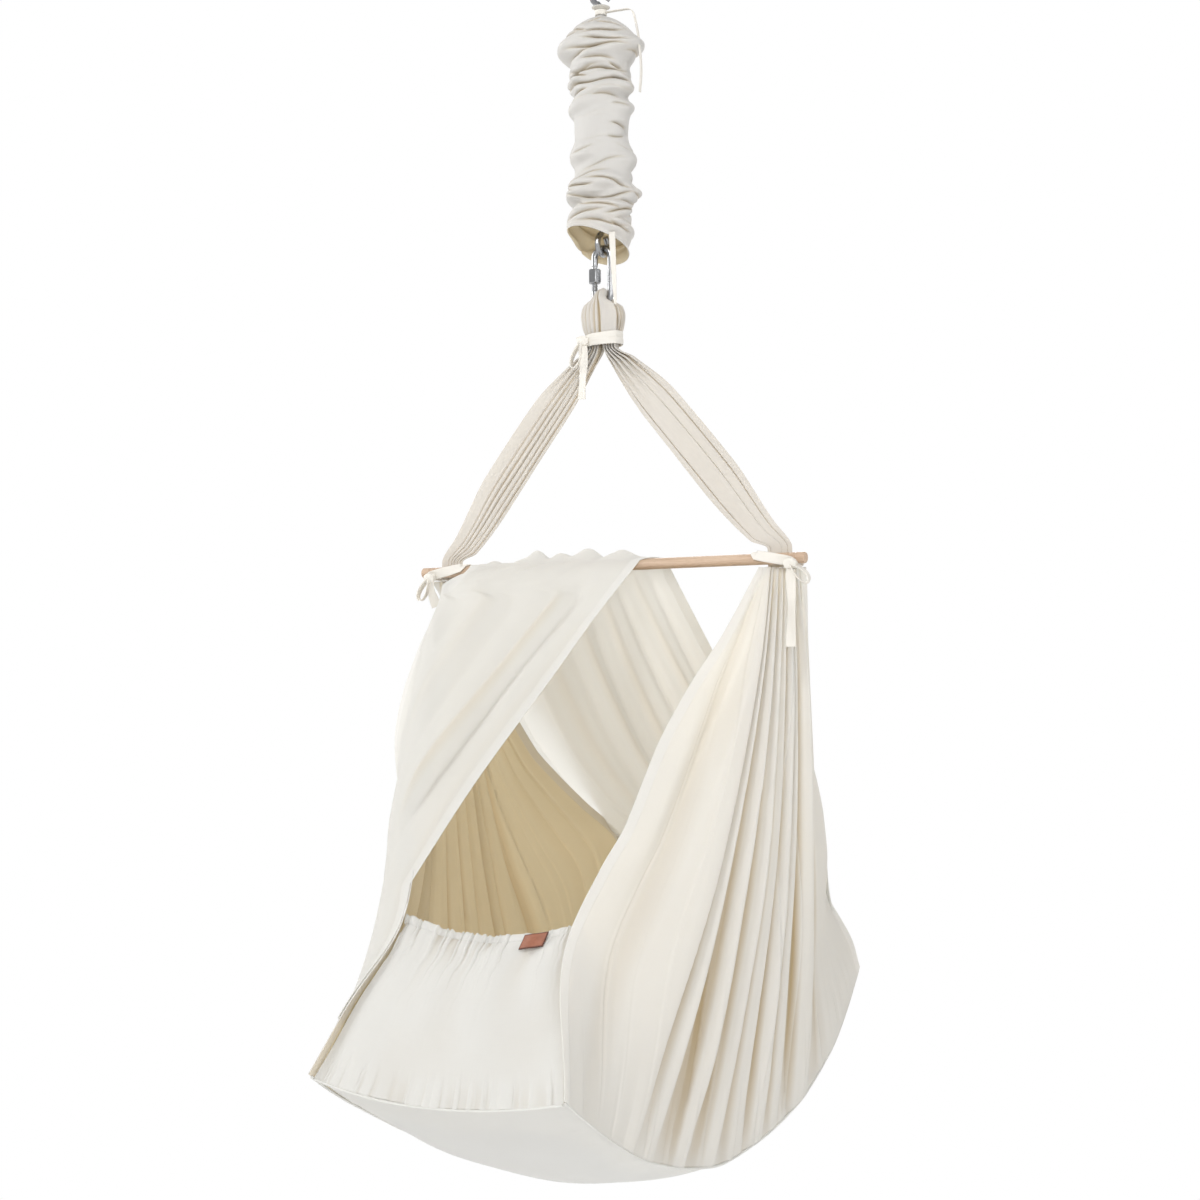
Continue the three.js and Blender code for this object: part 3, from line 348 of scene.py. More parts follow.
def tinted(node, share, plain, colour, how="MIX"):
    """plain turned towards colour by share."""
    other_kinds = [None] * 5
    return node("Mix", share, *other_kinds, plain, colour, out=2, data_type="RGBA", blend_type=how)


def ramp(node, value, stops):
    colour = node("ValToRGB", value)
    elements = colour.node.color_ramp.elements
    while len(elements) < len(stops):
        elements.new(0.5)
    for element, (place, tint) in zip(elements, stops):
        element.position, element.color = place, (*tint, 1)
    return colour


def noise(node, place, scale=1.0, **values):
    """Noise on a place, stretched where scale is one number a direction."""
    if isinstance(scale, tuple):
        place, scale = node("Mapping", Vector=place, Scale=scale), 1.0
    return node("TexNoise", Vector=place, Scale=scale, **values)


def cloth_look(name, pale, deep, through, glow, on_object=False, clear=0.0, bump=0.07, hem_colour=None,
               fold=(0.80, 0.68, 0.48)):
    """Woven cotton. Its mark of painted shade in folds turns the colour towards the fold tint, darker in
    pleats and creases, and light passes through it tinted with glow.
    """
    look, node = shader(name)
    place = node("TexCoord", out="Object")
    flat = place if on_object else node("UVMap", uv_map="UVMap")
    cloud = noise(node, place, 9.0, Detail=4.0, Roughness=0.55)
    warp, weft = (
        noise(node, flat, scale, Detail=3.0, Roughness=0.6) for scale in ((900, 50, 50), (50, 900, 900)))
    woven = plus(node, warp, weft)
    tone = plus(node, times(node, woven, 0.3), times(node, cloud, 0.5))
    painted_valley_shade, hem = (node("Attribute", out="Fac", attribute_name=mark) for mark in ("painted_valley_shade", "hem"))
    # Painted shade: the colour is multiplied towards fold, a tan, where the mark says a fold or crease lies.
    colour = tinted(node, painted_valley_shade, ramp(node, tone, [(0.3, deep), (0.72, pale)]), fold, "MULTIPLY")
    if hem_colour:
        colour = tinted(node, hem, colour, hem_colour)
    main = node("BsdfPrincipled", Base_Color=colour, Roughness=0.9, Specular_IOR_Level=0.2, Sheen_Weight=0.1,
                Sheen_Roughness=0.6, Normal=node("Bump", Height=woven, Strength=bump, Distance=0.0003))
    share = plus(node, times(node, hem, -0.2 * through), through)
    last = node("MixShader", share, main, node("BsdfTranslucent", Color=glow))
    if clear:
        pores = plus(node, times(node, hem, -clear), clear)
        last = node("MixShader", pores, last, node("BsdfTransparent"))
    node("OutputMaterial", last)
    return look


def wood_look():
    look, node = shader("beech")
    place = node("TexCoord", out="Object")
    grain = noise(node, place, (6, 160, 160), Detail=6.0, Roughness=0.65, Distortion=0.8)
    flecks = noise(node, place, (120, 1100, 1100), Detail=2.0)
    tone = plus(node, times(node, grain, 0.8), times(node, flecks, 0.25))
    colour = ramp(
        node, tone, [(0.35, (0.40, 0.27, 0.18)), (0.52, (0.55, 0.40, 0.285)), (0.72, (0.66, 0.51, 0.385))])
    relief = node("Bump", Height=tone, Strength=0.25, Distance=0.0005)
    node("OutputMaterial", node("BsdfPrincipled", Base_Color=colour, Roughness=0.5, Normal=relief))
    return look


def steel_look(name, colour, rough):
    look, node = shader(name)
    place = node("TexCoord", out="Object")
    patches = noise(node, place, 60.0, Detail=3.0)
    tint = ramp(node, patches, [(0.3, tuple(c * 0.82 for c in colour)), (0.7, colour)])
    gloss = plus(node, times(node, patches, 0.2), rough - 0.1)
    relief = node("Bump", Height=noise(node, place, 900.0, Detail=3.0), Strength=0.06, Distance=0.0003)
    node("OutputMaterial", node(
        "BsdfPrincipled", Base_Color=tint, Roughness=gloss, Metallic=1.0, Normal=relief))
    return look


def leather_look():
    look, node = shader("label_leather")
    place = node("TexCoord", out="Object")
    cloud = noise(node, place, 160.0, Detail=4.0)
    inner = ramp(node, cloud, [(0.35, (0.25, 0.085, 0.042)), (0.65, (0.32, 0.115, 0.06))])
    rim = node("Attribute", out="Fac", attribute_name="rim")
    colour = tinted(node, rim, inner, (0.11, 0.035, 0.02))
    grain = node("TexVoronoi", Vector=place, Scale=1400.0)
    relief = node("Bump", Height=grain, Strength=0.35, Distance=0.0002)
    node("OutputMaterial", node("BsdfPrincipled", Base_Color=colour, Roughness=0.55, Normal=relief))
    return look


WARM, PALE = (0.90, 0.78, 0.56), (0.88, 0.86, 0.80)
# Painted shade: fold is the tan put into the folds and creases of the cloth.
cotton = cloth_look(
    "cotton", (0.775, 0.77, 0.75), (0.74, 0.73, 0.705), 0.28, (0.88, 0.87, 0.80), fold=(0.58, 0.45, 0.27))
# Painted light and shade: the inner side's warmer, brighter tan stands in for light bounced warm inside the
# cradle. Its hems keep the cloth's own paler colour.
inner_cotton_painted_shade = cloth_look(
    "inner_cotton_painted_shade", (0.90, 0.83, 0.665), (0.865, 0.78, 0.60), 0.5, WARM, hem_colour=(0.78, 0.75, 0.70))
sleeve_cotton = cloth_look("sleeve_cotton", (0.68, 0.67, 0.65), (0.635, 0.62, 0.595), 0.18, PALE)
strap_cotton = cloth_look("strap_cotton", (0.69, 0.675, 0.65), (0.645, 0.625, 0.59), 0.22, WARM)
sheer = cloth_look(
    "sheer_cotton", (0.825, 0.82, 0.795), (0.795, 0.785, 0.76), 0.46, (0.88, 0.87, 0.835), clear=0.05)
tape_cloth = cloth_look(
    "cotton_tape", (0.85, 0.825, 0.77), (0.81, 0.78, 0.72), 0.12, WARM, on_object=True, bump=0.3)
pad_cloth = cloth_look("mattress_cover", (0.84, 0.81, 0.75), (0.80, 0.765, 0.70), 0.0, WARM)
beech = wood_look()
steel = steel_look("zinc_steel", (0.40, 0.405, 0.415), 0.24)
spring_steel = steel_look("spring_steel", (0.32, 0.33, 0.34), 0.34)
leather = leather_look()

for name in ("upper_hook", "lower_hook", "upper_plug", "lower_plug", "spreader_bar"):
    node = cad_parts[name]
    node.data.materials.clear()
    node.data.materials.append(beech if name == "spreader_bar" else steel)
    node.data.polygons.foreach_set("use_smooth", np.ones(len(node.data.polygons), bool))
    node.data.set_sharp_from_angle(angle=math.radians(40))

# Side walls. s runs from the front to the rear, t from the bar down to the seam with the base.
# Tables ending in SHARES are the part's own.

SEAM_SHARES = [0, 0.05, 0.15, 0.25, 0.4, 0.5, 0.6, 0.75, 0.85, 0.9, 0.95, 1]
seam_out = curve(SEAM_SHARES, [1, 1, 0.967, 0.961, 0.954, 0.961, 0.98, 1.026, 1.06, 1.085, 1.09, 1.085])
seam_drop = curve(SEAM_SHARES, [0, 0.167, 0.457, 0.703, 0.928, 1, 0.957, 0.768, 0.49, 0.27, 0.01, -0.268])
gather_back = curve([0, 0.3, 0.55, 1], [-0.67, 0, 0.83, 1])
front_pull = curve([0, 0.142, 0.258, 0.378, 0.52, 0.604, 0.72, 1], [0, 0.23, 0.52, 0.69, 0.72, 0.875, 1, 0])
REAR_EDGE = [0, 0.2, 0.42, 0.5, 0.57, 0.67, 0.81, 1]
rear_pull = curve(REAR_EDGE, [0, 0.28, 0.52, 0.61, 0.74, 1, 0.65, 0])
rear_push = curve(REAR_EDGE, [0, 0, -0.14, 0.175, 0.53, 1, 0.35, 0])


WALL_BULGE, FRONT_REACH, REAR_REACH, REAR_SHIFT, LEAN = 14, 64, 46, 57, 13


def edge_fade(distance, reach):
    return np.maximum(0, 1 - distance / reach) ** 2


def seam_point(s):
    return stack(FRONT_HALF * seam_out(s), -FRONT_Y + (FRONT_Y + REAR_Y) * s, -LEVEL - ROCKER * seam_drop(s))


def gather_point(s):
    return stack(GATHER_X + GATHER_WIDTH * s, GATHER_DEPTH * gather_back(s), -GATHER_DROP)


def wall_base(s, t):
    """The wall without its pleats."""
    s, t = matched(s, t)
    point = gather_point(s) * (1 - t)[..., None] + seam_point(s) * t[..., None]
    front, rear = edge_fade(s, 0.3), edge_fade(1 - s, 0.35)
    bulge = WALL_BULGE * np.sin(math.pi * t) * inside(s, 0.2)
    point[..., 0] += bulge - FRONT_REACH * front_pull(t) * front - REAR_REACH * rear_pull(t) * rear
    point[..., 1] += REAR_SHIFT * rear_push(t) * rear
    return point


def left_lean(s, t):
    """How much farther out the left wall's front edge stands than the right one's."""
    return LEAN * bell(t, 0.85, 0.1) * edge_fade(s, 0.3)


PLEATS = [
    (0, 0), (0.05, 0.1), (0.1, -0.5), (0.15, 0.1), (0.19, 0.7), (0.225, 1), (0.236, 0.95), (0.247, -0.95),
    (0.262, -0.6), (0.278, 0.4), (0.287, 0.6), (0.3, -0.5), (0.32, -0.8), (0.345, -0.75), (0.365, 0.6),
    (0.375, 0.9), (0.388, -0.2), (0.405, -0.75), (0.43, -0.5), (0.452, 0.6), (0.463, 0.9), (0.476, -0.3),
    (0.495, -0.7), (0.52, 0.1), (0.54, 0.5), (0.555, -0.3), (0.575, -0.7), (0.6, 0.5), (0.615, 0.85),
    (0.627, -0.4), (0.64, -0.5), (0.655, 0.5), (0.664, 0.6), (0.68, -0.4), (0.71, -0.7), (0.745, 0.2),
    (0.77, 0.7), (0.79, 0), (0.83, -0.4), (0.88, 0.0), (0.93, 0.1), (1, 0),
]
pleat_height = curve(*zip(*PLEATS))
pleat_depth = curve([0, 0.06, 0.2, 0.45, 0.7, 0.85, 0.95, 1], [0.15, 0.5, 0.85, 1, 0.95, 0.75, 0.45, 0.1])


def wall_relief(s, t, seed):
    """How far the cloth stands off the plain wall, in mm, and how deep in a pleat it lies, -1 to 1, which
    sets the painted shade in its folds.
    """
    drift = 0.045 * step(t, 0.5, 1.0) * bell(s, 0.2, 0.16) + 0.006 * np.sin(TAU * (1.3 * t + 2.1 * s))
    pleat = pleat_depth(t) * pleat_height(np.clip(s + drift, 0, 1))
    random = np.random.RandomState(seed)
    places = np.sort(np.concatenate([[0, 1], random.uniform(0.02, 0.98, 64)]))
    fine = curve(places, np.concatenate([[0], random.uniform(-1, 1, 64), [0]]))
    inner = inside(s, 0.08)
    small = pleat_depth(t) * fine(np.clip(s + 0.01 * np.sin(TAU * t * 1.7 + 5 * s), 0, 1)) * inner
    small = small * (0.35 + 0.65 * step(s, 0.18, 0.26))
    pucker = random_curve(random, 90)
    low = pucker(np.clip(s + 0.012 * (1 - t) / 0.15, 0, 1)) * step(t, 0.82, 0.96)
    low = low * (1 - 0.6 * step(t, 0.985, 1)) * (0.35 + 0.65 * bell(s, 0.5, 0.3, 4)) * inner
    drag = bell(s, 0.19 - 0.2 * t, 0.035) * step(t, 0.08, 0.3) * (1 - step(t, 0.68, 0.85)) * inner
    ridge = bell(s, 0.235 - 0.16 * t, 0.02) * step(t, 0.1, 0.3) * (1 - step(t, 0.6, 0.8))
    soft = waves(s * 2.2, t, seed + 3, 7, 1.6, 1.8) * inner * np.sin(math.pi * np.clip(t, 0, 1))
    shoulder = edge_fade(1 - s, 0.3) * (4 * bell(t, 0.93, 0.05) - 9 * bell(t, 0.79, 0.06))
    height = 9.5 * pleat + 2.2 * small + 2.4 * low - 9 * drag + 2.5 * ridge + 1.3 * soft + shoulder
    # Painted shade in the pleats, the small folds and the puckers low down.
    painted_valley_shade = (1.3 * pleat + 0.4 * small) * (0.3 + 0.7 * step(s, 0.2, 0.26)) + 0.15 * low
    return height, painted_valley_shade


def spaced(count, tight=0.0):
    """Shares 0 to 1, closer together near both ends."""
    x = np.linspace(0, 1, count)
    return x - tight * np.sin(TAU * x) / TAU


def hem_marks(points, width):
    """1 within width mm of the first and last column, else 0."""
    first = np.linalg.norm(points - points[:, :1], axis=-1)
    last = np.linalg.norm(points - points[:, -1:], axis=-1)
    return 1 - step(np.minimum(first, last), width - 0.6, width + 0.6)


def side_wall(name, seed, mirror):
    s, t = np.meshgrid(spaced(520, 0.55), spaced(320, 0.3))
    base = wall_base(s, t)
    out = normals_of(base)
    hem = hem_marks(base, 11.0)
    height, painted_valley_shade = wall_relief(s, t, seed)
    points = base + out * (height + 0.55 * hem)[..., None]
    uv = stack(s * 0.9, t * 0.62, 0)[..., :2]
    # Painted shade in the pleats' valleys, less on the hems.
    side = np.clip(painted_valley_shade if mirror else -painted_valley_shade, 0, 1) * (1 - 0.6 * hem)
    marks = {"hem": hem, "painted_valley_shade": side}
    if mirror:
        points = points * (-1, 1, 1)
        points[..., 0] -= left_lean(s, t)
    else:
        points, uv = points[:, ::-1], uv[:, ::-1]
        marks = {key: value[:, ::-1] for key, value in marks.items()}
    return grid(name, points, uv=uv, marks=marks, thick=WALL_THICK)


right_wall, left_wall = (
    dress(side_wall(node + "_cloth", seed, mirror), cotton, "cradle", "cotton", node, inner=inner_cotton_painted_shade)
    for node, seed, mirror in (("right_wall", 11, False), ("left_wall", 29, True))
)

# Front and rear panels

ENDS = {
    "front": {"s": 0.0, "toward": -1, "height": 153.0, "bulge": 15.0},
    "rear": {"s": 1.0, "toward": 1, "height": 166.0, "bulge": 8.0},
}
PANEL_BOW, PANEL_BILLOW, PANEL_SAG = 6, 12, 16
LABEL_WIDTH, LABEL_HEIGHT, LABEL_PLACE, LABEL_RISE = 27.5, 13.5, 61.5, 4.0


def panel_top(end):
    level = -seam_point(np.array(end["s"]))[2]
    return (level - end["height"] - GATHER_DROP) / (level - GATHER_DROP)


def panel_edge(end, v):
    t = panel_top(end) + (1 - panel_top(end)) * v
    s = abs(end["s"] - 0.008) * np.ones_like(t)
    return wall_base(s, t) - outward_of(wall_base, s, t) * (CLOTH + 2 * SEAT)


def panel_middle(end, u, v):
    """The panel without its folds. u runs from the left to the right wall, v down from its top edge."""
    u, v = matched(u, v)
    right = panel_edge(end, v)
    left = right * (-1, 1, 1)
    left[..., 0] -= left_lean(end["s"], panel_top(end) + (1 - panel_top(end)) * v)
    arch = 4 * u * (1 - u)
    point = left * (1 - u)[..., None] + right * u[..., None]
    bow = PANEL_BOW + (end["bulge"] - PANEL_BOW) * v + PANEL_BILLOW * np.sin(math.pi * np.clip(v, 0, 1))
    point[..., 1] += end["toward"] * bow * arch
    point[..., 2] -= (PANEL_SAG - 2 * v) * arch
    return point


def panel_out(end, u, v):
    out = outward_of(lambda a, b: panel_middle(end, a, b), u, np.maximum(v, 1e-3))
    return out * (1 if end["toward"] < 0 else -1)


def end_panel(name, key, seed):
    end = ENDS[key]
    u, v = np.meshgrid(np.linspace(0, 1, 340), spaced(200, 0.4))
    points = panel_middle(end, u, v)
    out = -end["toward"] * normals_of(points)
    gathers = gather_curve(seed)(np.clip(u + 0.004 * np.sin(TAU * 6 * v), 0, 1)) * (
        1 - 0.8 * under_label(end, u))
    relief = gathers * (1.5 * np.exp(-v / 0.07) + 0.9 * np.exp(-v / 0.2))
    long = waves(u * 4, v * 0.5, seed + 7, 7, 1.0, 0.6) * np.exp(-v / 0.4) * step(v, 0, 0.08)
    drape = waves(u * 2.6 + 0.25 * v, v * 0.8, seed + 4, 9, 1.5, 0.7) * np.sin(math.pi * v) ** 0.7
    relief = relief + 4.5 * long + 3.5 * drape
    pucker = gather_curve(seed + 1)(np.clip(u + 0.05 * (1 - v) * (u - 0.5), 0, 1))
    relief = relief + 0.8 * pucker * step(v, 0.72, 0.97)
    # Painted shade in the gathers under the elastic, the long folds, the drape and the puckers, on the front
    # panel only.
    painted_valley_shade = -0.5 * gathers * np.exp(-v / 0.08) - 0.22 * long - 0.12 * drape - (
        0.15 * pucker * step(v, 0.8, 0.97))
    painted_valley_shade = np.clip(painted_valley_shade, 0, 1) * (end["toward"] < 0)
    points = points - out * (relief * end["toward"])[..., None]
    return grid(name, points, marks={"painted_valley_shade": painted_valley_shade}, thick=WALL_THICK)


def gather_curve(seed):
    """Uneven small gathers along an elastic edge."""
    return random_curve(np.random.RandomState(seed), 100)


def under_label(end, u):
    """1 behind the label and 0 away from it."""
    place = 0.5 + LABEL_PLACE / (2 * panel_edge(end, np.array(0.0))[0])
    return bell(u, place, 0.07, 4) * (end["toward"] < 0)


def casing(name, key, seed):
    """The gathered top edge of a panel, a soft channel with the elastic inside."""
    end = ENDS[key]
    columns, around = 420, 20
    u = np.linspace(0, 1, columns)
    top = panel_middle(end, u, 0 * u)
    up = unit(top - panel_middle(end, u, 0 * u + 1e-3))
    out = panel_out(end, u, 0 * u) * -end["toward"]
    gathers, flat = gather_curve(seed), 1 - 0.8 * under_label(end, u)
    ruffle, lag, more_lag = (gathers(np.clip(u + shift, 0, 1)) * flat for shift in (0, 0.002, 0.005))
    angle = TAU * np.arange(around) / around
    high, deep = 5.0 + 0.5 * lag, 1.7 + 0.4 * more_lag
    middle = top + up * (4.2 + SEAT) + out * (2.4 * ruffle)[:, None]
    points = (
        middle[None]
        + up[None] * (high * np.cos(angle)[:, None])[..., None]
        + out[None] * (deep * np.sin(angle)[:, None])[..., None]
    )
    return grid(name, np.transpose(points, (1, 0, 2)), wrap=True)


PANEL_SEEDS = (("front", 5), ("rear", 8))
front_panel, rear_panel = (
    dress(end_panel(key + "_panel_cloth", key, seed), cotton, "cradle", "cotton", key + "_panel")
    for key, seed in PANEL_SEEDS
)
for key, seed in PANEL_SEEDS:
    dress(casing(key + "_casing", key, seed), cotton, "cradle", "elastic_casing", key + "_elastic")


def label_patch():
    end = ENDS["front"]
    half = panel_edge(end, np.array(0.0))[0]
    u, v = np.meshgrid(np.linspace(0, 1, 49), np.linspace(0, 1, 25))
    pu = 0.5 + (LABEL_PLACE + LABEL_WIDTH * (u - 0.5)) / (2 * half)
    pv = (LABEL_HEIGHT * v - LABEL_RISE) / end["height"]
    lift = 4.1 + 0.4 * np.sin(math.pi * u) - 0.2 * np.cos(TAU * 1.5 * u)
    points = panel_middle(end, pu, pv) + panel_out(end, pu, np.maximum(pv, 0)) * lift[..., None]
    edge = np.minimum(np.minimum(u, 1 - u) * LABEL_WIDTH, np.minimum(v, 1 - v) * LABEL_HEIGHT)
    return grid("label_patch", points, marks={"rim": 1 - step(edge, 0.4, 1.3)}, thick=1.4)


dress(label_patch(), leather, "cradle", "label_leather", "label")

# Base cloth, with its rolled seams, and the mattress on it

BASE_SAG = 34
sag = curve([0, 0.25, 0.5, 0.8, 1], [0.65, 0.85, 1, 0.8, 0.65])


def base_plain(u, s):
    across = 2 * u - 1
    x, y, z = np.moveaxis(seam_point(s), -1, 0)
    return stack(across * (x - CLOTH - SEAT), y, z - BASE_SAG * sag(s) * (1 - across**2))


def base_middle(u, s):
    """The base cloth without its relief, drawn in to the panels at both ends."""
    u, s = matched(u, s)
    point = base_plain(u, s)
    for end in ENDS.values():
        near = edge_fade(abs(end["s"] - s), 0.14)
        meeting, plain = panel_middle(end, u, np.ones_like(u)), base_plain(u, end["s"] * np.ones_like(s))
        point[..., 1] += near * (meeting[..., 1] - plain[..., 1] - end["toward"] * (CLOTH + SEAT))
        point[..., 2] += near * (meeting[..., 2] - plain[..., 2] + SEAT)
    return point


def base_cloth():
    u, s = np.meshgrid(spaced(160, 0.4), spaced(300, 0.4))
    points = base_middle(u, s)
    out = normals_of(points)
    relief = 1.8 * waves(u * 1.4, s * 3, 17, 7, 1.5, 1.5) * (inside(u, 0.1) * inside(s, 0.05))
    pucker, edge = random_curve(np.random.RandomState(19), 90), np.minimum(u, 1 - u)
    relief = relief + 1.3 * pucker(s) * (np.exp(-edge / 0.06) * (1 - np.exp(-edge / 0.008)))
    return grid("base_bag", points + out * relief[..., None], thick=WALL_THICK)


dress(base_cloth(), cotton, "cradle", "cotton", "base_cloth")


ROLL_RADIUS, ROLL_SHIFT = 1.5, 1.2


def seam_roll(name, points, first_side, seed):
    """The rolled seam allowance along a seam, a little uneven."""
    count, window = len(points), 5
    random = np.random.RandomState(seed)
    uneven = np.convolve(random.uniform(-1, 1, count + 8), np.ones(window) / window, "valid")[:count]
    roll = tube(name, points, ROLL_RADIUS + 0.25 * uneven, 10, first_side)
    dress(roll, cotton, "cradle", "cotton")


s_line, u_line = np.linspace(0.004, 0.996, 420), np.linspace(0.003, 0.997, 260)
for name, sign in (("right_seam", 1), ("left_seam", -1)):
    line = (wall_base(s_line, np.ones_like(s_line)) + (0, 0, -ROLL_SHIFT)) * (sign, 1, 1)
    seam_roll(name, line, (1, 0, 0), 40 + sign)
for key, end in ENDS.items():
    line = panel_middle(end, u_line, np.ones_like(u_line)) + (0, end["toward"] * ROLL_SHIFT, -ROLL_SHIFT)
    seam_roll(key + "_seam", line, (0, 1, 0), 50)

PAD_LENGTH, PAD_WIDTH, PAD_THICK, PAD_EDGE, PAD_CORNER, PAD_GAP = 660.0, 236.0, 34.0, 9.0, 60.0, 1.2


def pad_middle(u, v):
    u, v = matched(u, v)
    s = (PAD_LENGTH * (v - 0.5) + FRONT_Y) / (FRONT_Y + REAR_Y)
    seam = seam_point(s)
    corner = np.maximum(0, np.abs(2 * v - 1) * PAD_LENGTH / 2 - (PAD_LENGTH / 2 - PAD_CORNER))
    half = PAD_WIDTH / 2 - PAD_CORNER + np.sqrt(np.maximum(0, PAD_CORNER**2 - corner**2))
    x = (2 * u - 1) * half
    point = base_middle(0.5 + x / (2 * seam[..., 0]), s)
    point[..., 0] = x
    return point


def mattress():
    u, v = np.meshgrid(spaced(60, 0.7), spaced(140, 0.6))
    thick = PAD_EDGE + (PAD_THICK - PAD_EDGE) * np.sqrt(
        np.maximum(0, (1 - np.abs(2 * u - 1) ** 6) * (1 - np.abs(2 * v - 1) ** 10))
    )
    surface = pad_middle(u, v)
    out = normals_of(surface)
    middle = surface - out * (CLOTH / 2 + thick / 2 + PAD_GAP)[..., None]
    wrinkle = 0.8 * waves(u * 2, v * 4, 61, 7, 1.5, 1.5) * inside(u, 0.1)
    low = middle + out * (thick / 2)[..., None]
    high = middle - out * (thick / 2 + wrinkle)[..., None]
    rows, columns = u.shape
    vertices = in_metres(np.concatenate([low.reshape(-1, 3), high.reshape(-1, 3)]))
    faces = grid_faces(rows, columns, False)
    upper = faces[:, ::-1] + rows * columns
    index = np.arange(rows * columns).reshape(rows, columns)
    rim = np.concatenate([index[0, :-1], index[:-1, -1], index[-1, :0:-1], index[:0:-1, 0]])
    ahead = np.roll(rim, -1)
    wall = np.stack([ahead, rim, rim + rows * columns, ahead + rows * columns], -1)
    return mesh_from("mattress_pad", vertices, np.concatenate([faces, upper, wall]), uv=vertices[:, :2])


pad = dress(mattress(), pad_cloth, "pad", "mattress_cover", "mattress")

# Canopy: from the rear panel up over the bar, then down outside the left wall.
# v runs 0 to 1 up to the bar, 1 to 2 over it and 2 to 3 down to the free end.

BAR_LEFT, BAR_RIGHT, BAR_NEAR = -186, 78, 50
WRAP_START, WRAP_END = 0.114, 0.405
JOIN_LEVEL, END_LEVEL, OUTER_X, OUTER_Y, OUTER_LEVEL = 358, 495, -212, -120, -480
SLACK, BILLOW_OUT, HEM_BULGE, HEM_CLEAR, REAR_OUT, REAR_IN = 22, 62, 12, 5, 50, 16
BILLOW = [0, 0.05, 0.2, 0.41, 0.68, 1]
billow_out = curve(BILLOW, [0, 0.2, 0.77, 1, 0.42, 0])
billow_front = curve(BILLOW, [0, 0.17, 0.27, 0.45, 0.7, 1])
rear_spread = curve([0, 0.06, 0.2, 0.45, 0.7, 1], [0, 0.3, 0.95, 1.3, 1.1, 0])


def canopy_on_bar(u, share):
    angle = TAU * (WRAP_START + (WRAP_END - WRAP_START) * share)
    radius = BAR_RADIUS + 3 * SEAT + 0.8
    right = BAR_RIGHT + (BAR_NEAR - BAR_RIGHT) * share
    return stack(BAR_LEFT + (right - BAR_LEFT) * u, radius * np.cos(angle), radius * np.sin(angle))


def canopy_behind(u, share):
    end = ENDS["rear"]
    top = panel_middle(end, u, 0 * u)
    up = unit(top - panel_middle(end, u, 0 * u + 1e-3))
    start = top + up * (SEAT + 9 + 2 * SEAT)
    point = start * (1 - share)[..., None] + canopy_on_bar(u, 0 * share) * share[..., None]
    arch = np.sin(math.pi * share)
    point[..., 2] -= SLACK * arch * (0.5 + u * (1 - u) * 2)
    point[..., 2] += 5 * np.sin(3 * TAU * u) * arch
    point[..., 0] -= REAR_OUT * rear_spread(share) * (1 - u) ** 2
    point[..., 1] += REAR_IN * rear_spread(share) * (1 - u) ** 3
    return point


def on_left_wall(s, level, clear):
    """A place on the left wall at a level under the bar, clear of it by some mm."""
    t = (level - GATHER_DROP) / (LEVEL - GATHER_DROP)
    point = (wall_base(s, t) + outward_of(wall_base, s, t) * clear) * (-1, 1, 1)
    point[..., 0] -= left_lean(s, t)
    return point


def canopy_hem(share):
    """The near hem, which hangs free from the bar and then lies along the wall's front edge."""
    join = JOIN_LEVEL / END_LEVEL
    along, none = share / join, np.zeros_like(share)
    joined_at = on_left_wall(none, JOIN_LEVEL + none, HEM_CLEAR)
    start = canopy_on_bar(1 + none, 1 + none)
    free = start * (1 - along)[..., None] + joined_at * along[..., None]
    free[..., 1] -= HEM_BULGE * np.sin(math.pi * np.clip(along, 0, 1))
    wall = on_left_wall(none, END_LEVEL * share, HEM_CLEAR)
    return np.where((share >= join)[..., None], wall, free)


def canopy_outer(share):
    x, y, z = np.moveaxis(canopy_on_bar(np.zeros_like(share), np.ones_like(share)), -1, 0)
    return stack(
        x + (OUTER_X - x) * share - BILLOW_OUT * billow_out(share),
        y + (OUTER_Y - y) * billow_front(share),
        z + (OUTER_LEVEL - z) * share,
    )


def canopy_over_wall(share):
    level = np.maximum(END_LEVEL * share, GATHER_DROP)
    clear = 19 + 10 * step(share, 0.6, 0.85)
    return on_left_wall(0.1 * np.maximum(0, share - 0.5) * 2, level, clear[..., None])


def between(place, a, b, c, u):
    """The smooth curve through a, b and c at 0, place and 1, at u."""
    first, second = (b - a) / place, (c - b) / (1 - place)
    product = first * second
    middle = np.where(product > 0, 2 * product / np.where(first + second == 0, 1, first + second), 0)
    low = u <= place
    span = np.where(low, place, 1 - place)
    x = np.where(low, u, u - place) / span
    ends, slopes = (a, b, c), (first, middle, second)
    v0, m0 = (np.where(low, k[0], k[1]) for k in (ends, slopes))
    v1, m1 = (np.where(low, k[1], k[2]) for k in (ends, slopes))
    return hermite(x, span, v0, v1, m0, m1)


def canopy_in_front(u, share):
    outer, over, hem = canopy_outer(share), canopy_over_wall(share), canopy_hem(share)
    left = np.linalg.norm(outer - over, axis=-1)
    middle = left / (left + np.linalg.norm(over - hem, axis=-1))
    blend = np.minimum(1, share / 0.05)[..., None]
    draped = between(middle[..., None], outer, over, hem, u[..., None])
    w, bar_end = u[..., None], 0 * u + 1
    ends = canopy_on_bar(0 * u, bar_end), canopy_on_bar(bar_end, bar_end)
    plain = canopy_on_bar(u, bar_end) + (outer * (1 - w) + hem * w) - (ends[0] * (1 - w) + ends[1] * w)
    return plain * (1 - blend) + draped * blend


def canopy_middle(u, v):
    u, v = matched(u, np.clip(v, 0, 3))
    behind, over, front = (
        part(u, np.clip(v - start, 0, 1))
        for start, part in enumerate((canopy_behind, canopy_on_bar, canopy_in_front))
    )
    return np.where((v <= 1)[..., None], behind, np.where((v <= 2)[..., None], over, front))


